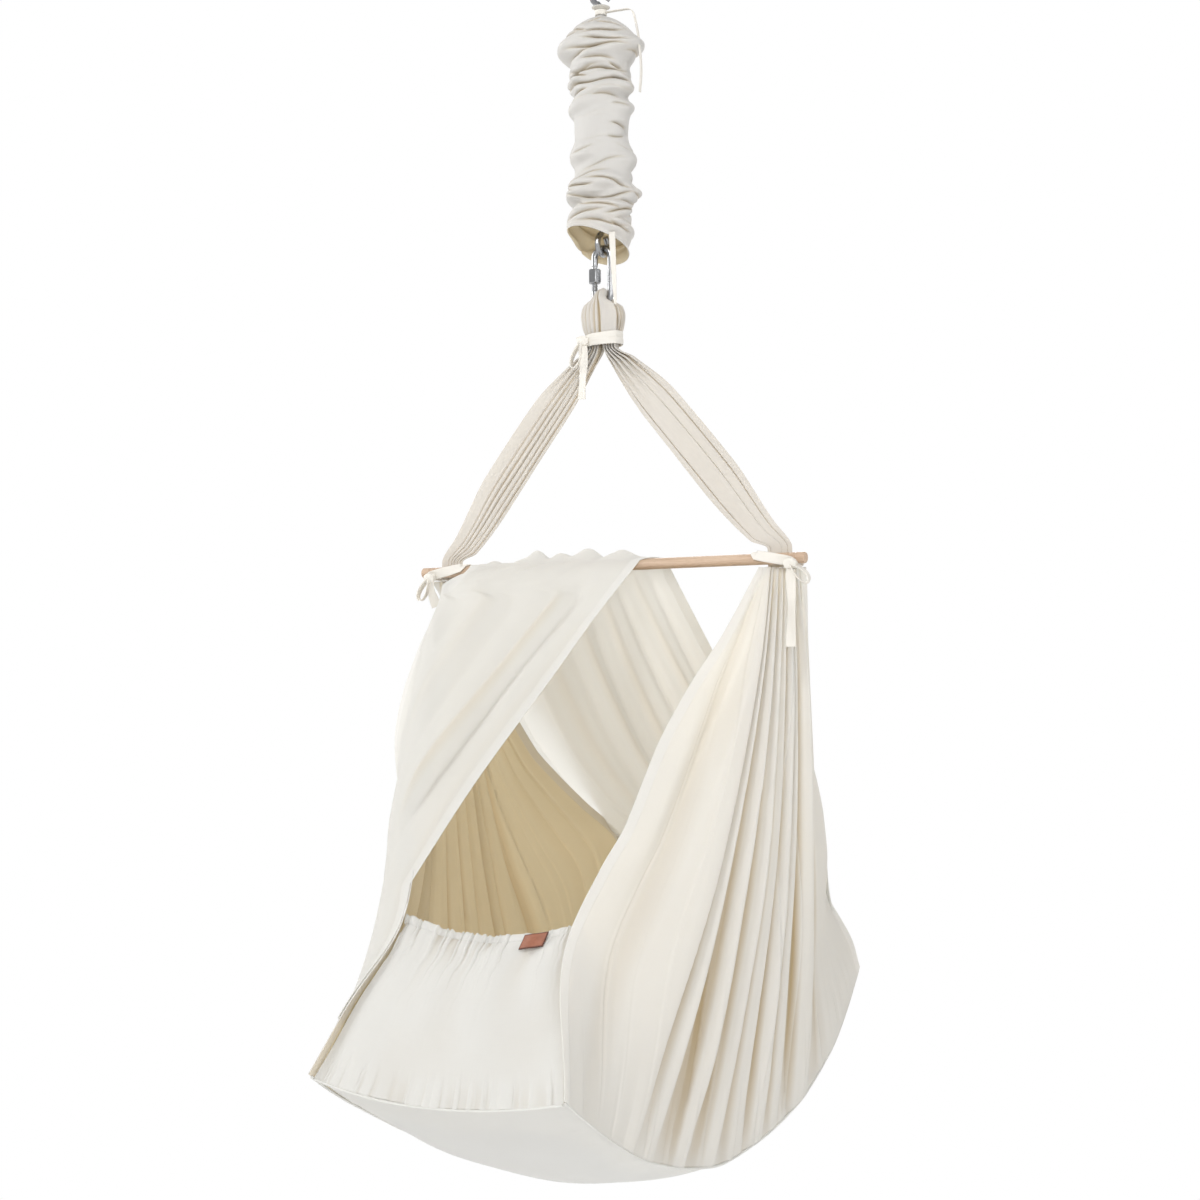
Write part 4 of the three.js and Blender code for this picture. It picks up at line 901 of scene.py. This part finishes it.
# Folds in front: place at the bar and at the free end, where the fold starts and ends, width, height
FRONT_FOLDS = (
    (0.83, 0.70, 0.02, 0.66, 0.035, 6.0), (0.76, 0.62, 0.05, 0.62, 0.026, -6.5),
    (0.55, 0.44, 0.0, 0.5, 0.05, 2.0), (0.40, 0.34, 0.02, 0.45, 0.05, -1.5),
    (0.20, 0.27, 0.0, 0.7, 0.06, 1.5), (0.94, 0.93, 0.1, 0.95, 0.03, -1.5),
)
# Folds behind: place, width, height
BACK_FOLDS = (
    (0.88, 0.022, 5.0), (0.79, 0.02, -4.0), (0.70, 0.02, 6.5), (0.61, 0.02, -4.5), (0.53, 0.025, 6.0),
    (0.46, 0.02, -4.0), (0.38, 0.03, 5.5), (0.27, 0.03, -3.5), (0.18, 0.03, 4.0),
)
# Lumps along the bar: place, width, height
BAR_LUMPS = ((0.37, 0.05, 0.9), (0.50, 0.045, 0.6), (0.64, 0.06, 0.75), (0.81, 0.05, 0.5))


def canopy_sheet():
    rows = np.concatenate([
        np.linspace(0, 1, 200, endpoint=False), np.linspace(1, 2, 34, endpoint=False), 2 + spaced(280)
    ])
    u, v = np.meshgrid(spaced(340, 0.5), rows)
    points = canopy_middle(u, v)
    out = -normals_of(points)
    rise, down = np.clip(v, 0, 1), np.clip(v - 2, 0, 1)
    back, front = 0 * u, 0 * u
    for place, width, height in BACK_FOLDS:
        back += height * bell(u, place + 0.03 * (1 - rise) * math.sin(9 * place), width)
    for high, low, start, end, width, height in FRONT_FOLDS:
        line = high + (low - high) * down + 0.008 * np.sin(TAU * down * 1.5 + 7 * high)
        front += height * (
            step(down, start, start + 0.08) * (1 - step(down, end - 0.15, end))) * bell(u, line, width)
    back *= np.sin(math.pi * rise) ** 0.7 * (v < 1)
    relief = back + front * (v > 2)
    relief = relief + 2.2 * waves(u * 4, down * 2, 71, 8, 1.4, 1.2) * step(down, 0.02, 0.2) * (v > 2)
    hem = hem_marks(points, 12.0)
    points = points + out * (relief + 0.4 * hem)[..., None]
    lumps = sum(height * bell(u, place, width) for place, width, height in BAR_LUMPS)
    lumps = lumps + 0.25 * np.maximum(0, waves(u * 14, 0 * u, 73, 5, 1.0, 0.1))
    points[..., 2] += 15 * lumps * bell(v, 1.45, 0.5)
    # Painted shade in the canopy's folds behind the bar and in front of it.
    painted_valley_shade = np.clip(-back / 11 - front / 20, 0, 1)
    return grid("canopy_sheet", points, marks={"hem": hem, "painted_valley_shade": painted_valley_shade}, thick=THIN_CLOTH)


canopy = dress(canopy_sheet(), sheer, "cradle", "sheer_cotton", "canopy")

# Straps from the neck tie out and down behind the bar. v runs down the strap, u across it

STRAP_DOWN = [0, 0.028, 0.1, 0.3, 0.6, 0.85, 0.92, 1]
strap_out = curve(STRAP_DOWN, [0.045, 0.045, 0.12, 0.338, 0.64, 0.88, 0.972, 0.974])
strap_width = curve(STRAP_DOWN, [0.35, 0.35, 0.58, 0.96, 1, 0.72, 0.58, 0.58])
strap_turn = curve(STRAP_DOWN, [0, 0, 0.55, 1, 1, 0.8, 0.1, 0])
strap_back = curve(STRAP_DOWN, [0, 0, 0, 0.02, 0.3, 0.88, 1, 1])
strap_fold = curve(STRAP_DOWN, [0.2, 0.25, 0.5, 0.9, 1, 0.5, 0.4, 0.4])
strap_thick = curve(STRAP_DOWN, [1, 1, 0.4, 0, 0, 0, 0, 0])


# Folds across a strap: place from its inner to its outer edge, height
RIGHT_FOLDS = (
    (0, -0.1), (0.06, 0.2), (0.1, 0.2), (0.125, -0.7), (0.15, 0.2), (0.38, 0.45), (0.56, 0.3), (0.58, -0.3),
    (0.6, 0.25), (0.79, 0.2), (0.82, -0.8), (0.85, 0.1), (0.95, 0.1), (1, -0.2),
)
LEFT_FOLDS = (
    (0, -0.3), (0.05, 0.4), (0.1, -0.9), (0.15, 0.5), (0.2, 0.3), (0.24, -0.7), (0.28, 0.5), (0.34, 0.7),
    (0.385, -1), (0.43, 0.5), (0.48, 0.3), (0.525, -0.8), (0.57, 0.6), (0.62, 0.4), (0.66, -0.6), (0.71, 0.4),
    (0.85, 0.4), (0.95, 0.2), (1, -0.1),
)


def strap_cloth(name, folds, seed, mirror):
    ripple = curve(*zip(*folds))
    u, v = np.meshgrid(np.linspace(0, 1, 300), np.linspace(0, 1, 260))
    behind = BAR_RADIUS + 1.5 + STRAP_FOLD + SEAT
    across = STRAP_WIDTH * strap_width(v) * (u - 0.5)
    turn = math.atan2(GATHER_X, STRAP_DROP) * strap_turn(v)
    drift = 0.03 * np.sin(TAU * v * 0.8 + seed) * u * (1 - u) * 4
    inner = 4 * u * (1 - u)
    place = np.clip(u + drift + 0.012 * waves(u, v, seed, 5, 1.2, 2.5) * inner, 0, 1)
    height = ripple(place) + 0.06 * waves(u * 4, v, seed + 1, 7, 1.5, 1.5) * inner
    fold = 2.7 * strap_fold(v) * height
    loops = np.sin(TAU * 5 * u)
    bunch = 7 * strap_thick(v) * np.where(loops > 0, 1, -1) * np.abs(loops) ** 0.5
    points = stack(
        (GATHER_X + GATHER_WIDTH / 2) * strap_out(v) + across * np.cos(turn),
        behind * strap_back(v) - fold + bunch,
        (STRAP_DROP - SEAT) + (-GATHER_DROP + 3 * SEAT - STRAP_DROP) * v + across * np.sin(turn),
    )
    # Painted shade in the strap's folds.
    painted_valley_shade = np.clip(-0.8 * height, 0, 1)
    if mirror:
        points, painted_valley_shade = points[:, ::-1] * (-1, 1, 1), painted_valley_shade[:, ::-1]
    return grid(name, points, marks={"painted_valley_shade": painted_valley_shade}, thick=THIN_CLOTH)


right_strap, left_strap = (
    dress(strap_cloth(node + "_cloth", folds, seed, mirror), strap_cotton, "cradle", "cotton", node)
    for node, folds, seed, mirror in (
        ("right_strap", RIGHT_FOLDS, 83, False), ("left_strap", LEFT_FOLDS, 87, True))
)

# Sling loop over the link's bow

LINK_ROD, LOOP_HALF, LOOP_REACH = 4, 6.5, 23
loop_reach = [0, 0.5, 0.9, 1, 0.95, 0.8, 0.56, 0.56]
loop_down = [0, 0.03, 0.14, 0.28, 0.5, 0.74, 0.93, 1]
loop_width = [0.26, 0.27, 0.42, 0.85, 1, 0.95, 0.84, 0.84]
loop_thick = [1, 0.86, 0.68, 0.5, 0.44, 0.55, 0.86, 0.86]


def sling_loop():
    top_z = LINK_BOTTOM - BAR_Z + LINK_ROD + SEAT + LOOP_HALF
    drop = top_z - STRAP_DROP
    shares = np.concatenate([-np.array(loop_down[:0:-1]), loop_down])
    both = lambda table, sign=1: curve(shares, np.concatenate([sign * np.array(table[:0:-1]), table]))
    place = np.sign(np.linspace(-1, 1, 241)) * np.abs(np.linspace(-1, 1, 241)) ** 1.3
    centre = stack(0, 12 * both(loop_reach, -1)(place), top_z - drop * np.abs(place))
    width, thick = LOOP_REACH * both(loop_width)(place), LOOP_HALF * both(loop_thick)(place)
    along = unit(np.gradient(centre, axis=0))
    side = np.array([1.0, 0, 0])
    lift = unit(np.cross(along, side))
    angle = TAU * np.arange(144) / 144
    random = np.random.RandomState(91)
    knots = np.linspace(0, 1, 43)
    heights = random.uniform(0.4, 1, 43) * np.where(np.arange(43) % 2, 1, -1)
    heights[-1] = heights[0]
    pleat = curve(knots, heights)(angle / TAU)[None]
    band = step(np.cos(angle), 0.12, 0.2)[None] * (place[:, None] < 0)
    slit = bell(np.cos(angle), 0.1, 0.07)[None] * (place[:, None] < 0)
    open_share = np.clip((width / LOOP_REACH - 0.2) / 0.5, 0.5, 1)[:, None]
    relief = 1.5 * pleat * open_share * (1 - 0.9 * band) - 3.0 * slit + 1.2 * band
    points = (
        centre[:, None]
        + side * ((width[:, None] + relief) * np.cos(angle))[..., None]
        + lift[:, None] * ((thick[:, None] + relief) * np.sin(angle))[..., None]
    )
    # Painted shade in the loop's pleats and in its slit.
    painted_valley_shade = np.clip(-0.9 * pleat * (1 - band) + slit, 0, 1)
    return grid("loop_cloth", points, wrap=True, marks={"painted_valley_shade": painted_valley_shade})


dress(sling_loop(), strap_cotton, "cradle", "cotton", "sling_loop")


def power(x, corner):
    return np.sign(x) * np.abs(x) ** corner


def neck_turn(name, centre_z, height, wide, deep, lean, swell):
    """One turn of tape round the neck."""
    angle = TAU * np.arange(180) / 180
    cos, sin = np.cos(angle), np.sin(angle)
    rows = np.linspace(-0.5, 0.5, 11)[:, None]
    r = 1 + swell * (1 - 4 * rows**2)
    points = stack(
        wide * power(cos, 0.6)[None] * r,
        deep * power(sin, 0.6)[None] * r,
        centre_z + height * rows + lean * cos[None] + 0.4 * np.sin(3 * angle)[None],
    )
    return grid(name, points, wrap=True, thick=TAPE_THICK)


neck_low = neck_turn("neck_low", STRAP_DROP - 3.4, 8.5, 22.8, 15.0, 1.5, 0.03)
neck_high = neck_turn("neck_high", STRAP_DROP + 3.2, 7.5, 22.2, 14.6, 2.6, 0.04)
dress(joined("neck_band", [neck_low, neck_high]), tape_cloth, "cradle", "cotton_tape", "neck_tie")


def knot_lump(name, centre, seed):
    """A small tight knot of flat tape: a wrapped lump with creases across it."""
    u, v = np.meshgrid(np.linspace(0, 1, 49)[:-1], np.linspace(0, 1, 25))
    a, b = TAU * u, math.pi * (v - 0.5)
    fold = 1 + 0.10 * np.cos(3 * a + 2 * b + seed) * np.cos(b) + 0.05 * np.cos(7 * a - 3 * b + seed)
    flat, tall = power(np.cos(b), 0.75), power(np.sin(b), 0.75)
    shape = stack(flat * power(np.cos(a), 0.75), flat * power(np.sin(a), 0.75), tall)
    return grid(name, np.array(centre) + shape * fold[..., None] * np.array(KNOT_SIZE) / 2, wrap=True)


KNOT_SIZE, EAR_OUT = (15, 9, 12), 3


def tie(name, centre, tail, ear, width, seed):
    """A knot with a hanging tail and a flat loop of the same tape."""
    path = smooth_path(np.array(centre) + np.array(tail, float), 60)
    x = np.linspace(0, 1, 60)
    turn = 0.35 * np.sin(TAU * x * 0.8 + seed)
    side = np.stack([np.cos(turn), np.sin(turn), 0 * x], -1)
    narrow = 0.55 + 0.45 * step(x, 0.0, 0.15)
    hanging = ribbon(name + "_tail", path, side, width * narrow, cup=0.5)
    angle, length, height = ear
    share = np.linspace(0, 1, 70)
    along, arch = (1 - np.cos(TAU * share)) / 2, np.sin(math.pi * share)
    off = np.sin(TAU * share) * height * arch / 2
    path = np.array(centre) + stack(
        length * along * math.cos(angle) - off * math.sin(angle), -EAR_OUT * along - 0.5,
        length * along * math.sin(angle) + off * math.cos(angle))
    side = stack(0.25 * arch * math.sin(angle), np.ones(70), 0.2 * np.sin(TAU * share))
    loop = ribbon(name + "_ear", path, side, width * (0.5 + 0.5 * arch**0.5), cup=0.3)
    return joined(name, [knot_lump(name + "_knot", centre, seed), hanging, loop])


for knot, node, centre, tail, ear, width, seed in (
    ("neck_knot", "neck_bow", (-18, -19.2, 268), [(0, 0, 0), (3.5, -4, -28), (0, -2.8, -70)],
     (-1.9, 34, 15), 11, 1),
    ("right_knot", "right_bar_bow", (244, -12.4, -7), [(0, 0, 0), (1.9, -2.8, -38), (0, -1.9, -94)],
     (-0.75, 31, 15), 12, 2),
    ("left_knot", "left_bar_bow", (-241, -12.4, -7), [(0, 0, 0), (4.3, -2.2, -18), (10.8, -1.4, -36)],
     (-2.0, 30, 14), 12, 3),
):
    dress(tie(knot, centre, tail, ear, width, seed), tape_cloth, "cradle", "cotton_tape", node)


def bar_tie(name, mirror):
    """One turn of tape round the bar and the gathered cloth."""
    v = np.linspace(0, 1, 9)
    angle = TAU * np.linspace(0, 1, 241)[:-1]
    room = BAR_RADIUS + SEAT + 0.65
    rear_room = 2 * (STRAP_FOLD + 2 * SEAT) + 3 + room
    centre_y, deep = (rear_room - room) / 2 + SEAT, (rear_room + room) / 2 + 1.4
    sweep = np.clip(2 * np.sin(angle), -1, 1)
    reach = GATHER_WIDTH * 0.58 * 1.15 / 2 + 6
    along = stack(
        -reach * 2 * np.cos(angle) * (np.abs(sweep) < 1), -deep * np.sin(angle), (room + 1.4) * np.cos(angle))
    outward = stack(0 * angle, np.cos(angle), np.sin(angle))
    width = unit(np.cross(along, outward))
    middle_x = GATHER_X + GATHER_WIDTH / 2 - 6.5
    centre = stack(middle_x - reach * sweep, centre_y + deep * np.cos(angle), (room + 1.4) * np.sin(angle))
    points = centre[None] + width[None] * (BAR_TAPE_WIDTH * (v - 0.5))[:, None, None]
    curl = 0.4 * np.cos(5 * angle)[None] * (4 * (v - 0.5) ** 2)[:, None]
    points = points + outward[None] * curl[..., None]
    return grid(name, points * (-1, 1, 1) if mirror else points, wrap=True, thick=TAPE_THICK)


BAR_TAPE_WIDTH = 12
for side, mirror in (("right", False), ("left", True)):
    tape = bar_tie(side + "_bar_tape", mirror)
    dress(tape, tape_cloth, "cradle", "cotton_tape", side + "_bar_tie")

# Sleeve over the spring, in the part's own heights

SLEEVE_TOP, SLEEVE_LENGTH, SLEEVE_RADIUS = 26.0, 307.0, 36.0
SLEEVE_WAVE, SLEEVE_TILT, MOUTH_LIFT, MOUTH_SHARE = 5, 4, 26, 0.25
SLEEVE_PLACE = [
    0, 0.01, 0.036, 0.05, 0.072, 0.124, 0.173, 0.215, 0.251, 0.287, 0.339, 0.371, 0.407, 0.453, 0.528,
    0.606, 0.642, 0.7, 0.749, 0.805, 0.86, 0.9, 0.941, 0.98, 1,
]
sleeve_radius = curve(SLEEVE_PLACE, [
    0.3, 0.13, 0.13, 0.36, 0.7, 1.12, 1.27, 1.12, 1, 0.93, 1.06, 0.92, 1, 0.92, 0.92, 1, 0.92, 1.06, 1.06,
    0.92, 1.06, 1, 0.92, 0.84, 0.88,
])
sleeve_wave = curve(SLEEVE_PLACE, [
    0, 0, 0, 0, 0.1, 0.5, 1, 0.8, 0.6, 0.5, 0.9, 0.5, 0.6, 0.2, 0.2, 0.4, 0.5, 0.9, 0.8, 0.5, 1, 0.4, 0.1,
    0, 0,
])
sleeve_count = curve(SLEEVE_PLACE, list(range(25)))

# Creases on the seen side: sideways place and height in mm, half length round the sleeve in degrees,
# slope, depth
SLEEVE_FRONT = math.radians(298.6)
CREASES = (
    (-14, -50, 30, 8, 4), (12, -56, 30, -9, 4), (-30, -62, 26, -4, 4), (2, -66, 34, 5, 4),
    (3, -76, 32, 0, 4.5), (-8, -84, 45, 1, 4.5), (-24, -90, 36, 4, 3.5), (-4, -98, 28, -4, 3.5),
    (-3, -110, 60, 0, 4.8),
    (-29, -116, 18, 0, 5), (18, -106, 14, -6, 4.5), (22, -121, 16, -4, 4.5), (-6, -124, 70, 1, 4.5),
    (-31, -136, 26, 2, 4.5), (5, -142, 26, -2, 3), (24, -152, 18, 3, 2.5), (26, -176, 24, 0, 4),
    (20, -190, 20, 5, 3), (-25, -205, 22, 4, 2), (0, -222, 40, 9, 2.2), (-18, -238, 34, 10, 3),
    (10, -246, 40, -6, 4), (-26, -250, 26, 3, 4.5), (-22, -262, 30, -5, 3.5), (14, -262, 36, 8, 4),
    (-8, -274, 40, -7, 4.2), (22, -280, 28, 6, 4.5), (-22, -284, 34, 9, 3.5), (2, -294, 44, -4, 4),
    (24, -298, 26, -8, 4),
)
# Soft lumps and hollows: sideways place, height, half length in degrees, half height, height off the cloth
LOBES = (
    (32, -66, 30, 12, 4), (-34, -80, 28, 9, 3), (34, -182, 26, 7, -5), (34, -216, 34, 15, 5.5),
    (36, -252, 30, 9, 6), (-34, -246, 28, 9, 3), (-34, -296, 34, 12, 7), (30, -160, 30, 9, 2),
)


def round_place(side, angle):
    """Angle in radians from the place that shows side mm right of the sleeve's middle."""
    at = SLEEVE_FRONT + math.asin(max(-0.97, min(0.97, side / 37)))
    return np.angle(np.exp(1j * (angle - at)))


def sleeve_cloth():
    u, v = np.linspace(0, 1, 361)[:-1], np.linspace(0, 1, 620)[:, None]
    angle = TAU * u[None]
    k, wide, wave = sleeve_count(v), sleeve_radius(v), sleeve_wave(v)
    radius = SLEEVE_RADIUS * wide + SLEEVE_WAVE * wave * np.cos(2 * angle + 2 * k)
    low = np.maximum(0, 1 - (1 - v) / MOUTH_SHARE)
    flare = low**2 * bell(round_place(-30, angle), 0, 0.8)
    z = -SLEEVE_TOP - SLEEVE_LENGTH * v + SLEEVE_TILT * wave * np.cos(angle + k)
    z = z + MOUTH_LIFT * low * (1 - np.sin(angle)) / 2 + 9 * flare
    random = np.random.RandomState(5)
    ranges = ((0, TAU), (-318, -66), (20, 60), (-9, 9), (2, 4.5))
    rear = [tuple(random.uniform(*ends) for ends in ranges) for _ in range(46)]
    relief, painted_valley_shade = 0 * z, 0 * z
    for n, (side, level, reach, slope, depth) in enumerate(CREASES + tuple(rear)):
        off = round_place(side, angle) if n < len(CREASES) else np.angle(np.exp(1j * (angle - side)))
        if n >= len(CREASES):
            seen = abs(float(np.angle(np.exp(1j * (side - SLEEVE_FRONT))))) < 1.1
            depth = depth * (0.25 if seen else 1) * (0.4 if -225 < level < -145 else 1)
        window = bell(off, 0, math.radians(reach), 4)
        below = z - (level + slope * off + 1.5 * np.sin(4 * off + n))
        crease = window * bell(below, 0, 1.5)
        relief = relief - depth * crease + 0.42 * depth * window * (
            bell(below, 5.5, 4.2) + bell(below, -5.5, 4.2))
        # Painted shade along each crease.
        painted_valley_shade = np.maximum(painted_valley_shade, 0.2 * depth * crease)
    for side, level, reach, tall, height in LOBES:
        relief = relief + height * (
            bell(round_place(side, angle), 0, math.radians(reach))) * bell(z, level, tall)
    calm = 1 - 0.55 * (step(v, 0.37, 0.42) * (1 - step(v, 0.56, 0.64)))
    relief = relief + 1.1 * waves(u[None] * 3, v * 9, 5, 8, 1.0, 1.5) * calm
    body = step(v, 0.05, 0.1) * (1 - 0.5 * step(v, 0.975, 1.0))
    pleats = 0.54 * np.cos(22 * angle + 3 * np.cos(z * 0.05)) * (
        1 - step(v, 0.07, 0.14)) * np.minimum(1, wide * 2)
    radius = np.maximum(radius + relief * body + 13 * flare**2 + pleats, 3.6)
    points = stack(radius * np.cos(angle), radius * np.sin(angle), z)[:, ::-1]
    marks = {"painted_valley_shade": painted_valley_shade[:, ::-1]}
    return grid("sleeve_cloth", points, wrap=True, marks=marks, thick=TAPE_THICK, local=False)


def stretch(obj):
    """Bakes the piece's placing into its mesh."""
    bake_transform(obj)


sleeve = dress(sleeve_cloth(), sleeve_cotton, None, "cotton", "spring_sleeve", inner=inner_cotton_painted_shade)
stretch(sleeve)

# Spring inside the sleeve, with coned ends that close on the plugs

SPRING_TOP, SPRING_BOTTOM, SPRING_WIRE, SPRING_RADIUS = -50.2, -273.2, 2.5, 18.0
SPRING_PITCH, CONE_LENGTH, CONE_RADIUS = 10.0, 20.0, 9.4


def spring_coil():
    top, bottom = SPRING_TOP - SPRING_WIRE, SPRING_BOTTOM + SPRING_WIRE
    turns = (top - bottom) / SPRING_PITCH
    z = np.linspace(top, bottom, round(turns * 36) + 1)
    closeness = np.clip(np.minimum(SPRING_TOP - z, z - SPRING_BOTTOM) / CONE_LENGTH, 0, 1)
    radius = CONE_RADIUS + (SPRING_RADIUS - CONE_RADIUS) * closeness
    angle = TAU * turns * (top - z) / (top - bottom)
    path = stack(radius * np.cos(angle), radius * np.sin(angle), z)
    return tube("spring_coil", path, SPRING_WIRE, 14, (0, 0, 1), local=False)


coil = dress(spring_coil(), spring_steel, None, "spring_steel", "spring")
stretch(coil)

TOP_TAIL, LOW_TAIL = 104, 86
tie_z = -SLEEVE_TOP - SLEEVE_LENGTH * 0.023
u_ring = TAU * np.arange(60) / 60
ring_points = stack(
    6.5 * np.cos(u_ring)[None], 6.5 * np.sin(u_ring)[None], tie_z + np.linspace(-3, 3, 7)[:, None])
ring = grid("tape_ring", ring_points, wrap=True, thick=1.2, local=False)
TAIL_OUT, TAIL_DOWN = [0.06, 0.25, 0.4, 0.46, 0.5, 0.52, 0.5], [0, 0.005, 0.03, 0.2, 0.45, 0.75, 1]
tail_points = [(TOP_TAIL * a, 0, tie_z - TOP_TAIL * b) for a, b in zip(TAIL_OUT, TAIL_DOWN)]
tail = ribbon("tape_tail", smooth_path(tail_points, 90), (0, 1, 0), 5, columns=5, local=False)
dress(joined("top_tape", [ring, tail]), tape_cloth, "hanger", "cotton_tape", "sleeve_top_tape")

mouth = SLEEVE_RADIUS * 0.92 + SLEEVE_WAVE * 0.1 + (1.6 + 1.2) / 2 + SEAT
mouth_angle = TAU * 0.88
mouth_z = -SLEEVE_TOP - SLEEVE_LENGTH + MOUTH_LIFT * (1 - math.sin(mouth_angle)) / 2
low_points = [
    (mouth * math.cos(mouth_angle) + 8 * a / 2, mouth * math.sin(mouth_angle), mouth_z + 4 - LOW_TAIL * a)
    for a in np.linspace(0, 1, 5)
]
narrowing = 8 - 5 * np.linspace(0, 1, 60) ** 1.5
low_tape = ribbon("low_tape", smooth_path(low_points, 60), (1, 0, 0), narrowing, local=False)
dress(low_tape, tape_cloth, "spring_foot", "cotton_tape", "sleeve_low_tape")

# Quick link with its threads, and the screw sleeve

ARM, THREAD_PITCH = 10.75, 1.25
NUT_HALF, NUT_BORE, NUT_HEIGHT = 7, 4.15, 17


def quick_link():
    middle = (LINK_TOP + LINK_BOTTOM) / 2
    gap_top, gap_bottom = middle + 4.5, middle - 4.5
    up, down = np.linspace(math.pi, 0, 41), np.linspace(0, -math.pi, 41)
    high, low = LINK_TOP - ARM, LINK_BOTTOM + ARM
    path = np.concatenate([
        stack(-ARM, 0, np.linspace(gap_top, high, 30))[:-1],
        stack(ARM * np.cos(up), 0, high + ARM * np.sin(up)),
        stack(ARM, 0, np.linspace(high, low, 30))[1:-1],
        stack(ARM * np.cos(down), 0, low + ARM * np.sin(down)),
        stack(-ARM, 0, np.linspace(low, gap_bottom, 120))[1:],
    ])
    radius = np.full(len(path), float(LINK_ROD))
    z, left = path[:, 2], path[:, 0] < -ARM + 1e-6
    thread = left & (z > gap_bottom - 14) & (z < gap_top + 7)
    radius[thread] = 3.55 + 0.22 * np.cos(TAU * z[thread] / THREAD_PITCH)
    return tube("link_rod", path, radius, 40, (0, 1, 0), local=False)


dress(quick_link(), steel, "link", "zinc_steel", "quick_link")


def screw_sleeve():
    """A hexagonal sleeve with its corners turned down at both ends, and its bore."""
    angle = TAU * np.arange(144) / 144
    flat = NUT_HALF / np.cos(angle % (math.pi / 3) - math.pi / 6)
    corner = 2 * NUT_HALF / math.sqrt(3)
    ends = ((0, 1.6), (0.15, 1.25), (0.9, 0.45), (1.6, 0))
    outline = [*ends, *((NUT_HEIGHT - h, less) for h, less in ends[::-1])]
    rings = [(NUT_BORE, 0.35), *((np.minimum(flat, corner - less), h) for h, less in outline)]
    rings += [(NUT_BORE, NUT_HEIGHT - 0.35), (NUT_BORE, 0.35)]
    points = np.array([stack(radius * np.cos(angle), radius * np.sin(angle), h) for radius, h in rings])
    points = points + (-ARM, 0, (LINK_TOP + LINK_BOTTOM) / 2 - NUT_HEIGHT / 2)
    return grid("screw_sleeve", points, wrap=True, local=False)


nut = dress(screw_sleeve(), steel, "nut", "zinc_steel", "link_nut")
nut.data.set_sharp_from_angle(angle=math.radians(28))

# Floor, light and camera


FLOOR_Z, FLOOR_HALF = -1.95, 14


def studio():
    """A pale floor that keeps the shadow near the object, and a white surround that lights evenly."""
    corners = [(x * FLOOR_HALF, y * FLOOR_HALF, FLOOR_Z) for x, y in ((-1, -1), (1, -1), (1, 1), (-1, 1))]
    floor = mesh_from("floor", corners, [(0, 1, 2, 3)])
    look, node = shader("floor")
    flat = node("VectorMath", node("TexCoord", out="Object"), (1, 1, 0), operation="MULTIPLY")
    length = node("VectorMath", flat, out="Value", operation="LENGTH")
    far = node("MapRange", Value=length, From_Min=0.7, From_Max=1.7, interpolation_type="SMOOTHSTEP")
    rays = node("LightPath").node.outputs
    seen = greater(node, rays["Is Camera Ray"], rays["Is Glossy Ray"])
    seen = greater(node, seen, rays["Is Transmission Ray"])
    paint = node("BsdfPrincipled", Base_Color=(0.9, 0.9, 0.9), Roughness=0.9)
    glow = node("Emission", Strength=1.0)
    node("OutputMaterial", node("MixShader", times(node, far, seen), paint, glow))
    floor.data.materials.append(look)

    world = bpy.data.worlds.new("studio")
    bpy.context.scene.world = world
    world.use_nodes = True
    world.node_tree.nodes.clear()
    node = functools.partial(put, world.node_tree)
    rays = node("LightPath").node.outputs
    seen = greater(node, rays["Is Camera Ray"], rays["Is Transmission Ray"])
    fill, white = (node("Background", Strength=strength, Color=(1, 1, 1)) for strength in (0.5, 1.0))
    node("OutputWorld", node("MixShader", seen, fill, white))


def lamp(name, place, aim, size, watts):
    data = bpy.data.lights.new(name, "AREA")
    data.shape, data.size, data.energy = "DISK", size, watts
    obj = bpy.data.objects.new(name, data)
    obj.location = place
    obj.rotation_euler = (Vector(aim) - Vector(place)).to_track_quat("-Z", "Y").to_euler()
    bpy.context.scene.collection.objects.link(obj)


def camera():
    turn, rise, roll = 28.574, 2.698, 0.413
    data = bpy.data.cameras.new("camera")
    data.sensor_width, data.lens, data.clip_end = 36, 59.37, 60
    obj = bpy.data.objects.new("camera", data)
    spin = (
        Matrix.Rotation(math.radians(turn), 4, "Z")
        @ Matrix.Rotation(math.radians(90 + rise), 4, "X")
        @ Matrix.Rotation(math.radians(-roll), 4, "Z")
    )
    obj.matrix_world = Matrix.Translation((1.1185, -2.0665, -0.8517)) @ spin
    bpy.context.scene.collection.objects.link(obj)
    bpy.context.scene.camera = obj


studio()
lamp("key", (0.7, -3.9, 1.5), (0, 0, -0.95), 1.0, 70)
lamp("side", (3.4, -1.2, 0.2), (0, 0, -0.95), 2.0, 30)
lamp("left", (-3.2, -0.6, 0.6), (0, 0, -0.95), 2.0, 74)
lamp("fill", (2.0, -3.5, -0.1), (-0.1, 0, -1.0), 1.6, 27)
lamp("rear", (-0.6, 3.2, 0.9), (0, 0, -0.9), 2.4, 108)
camera()
bpy.context.scene.view_settings.view_transform = "Standard"
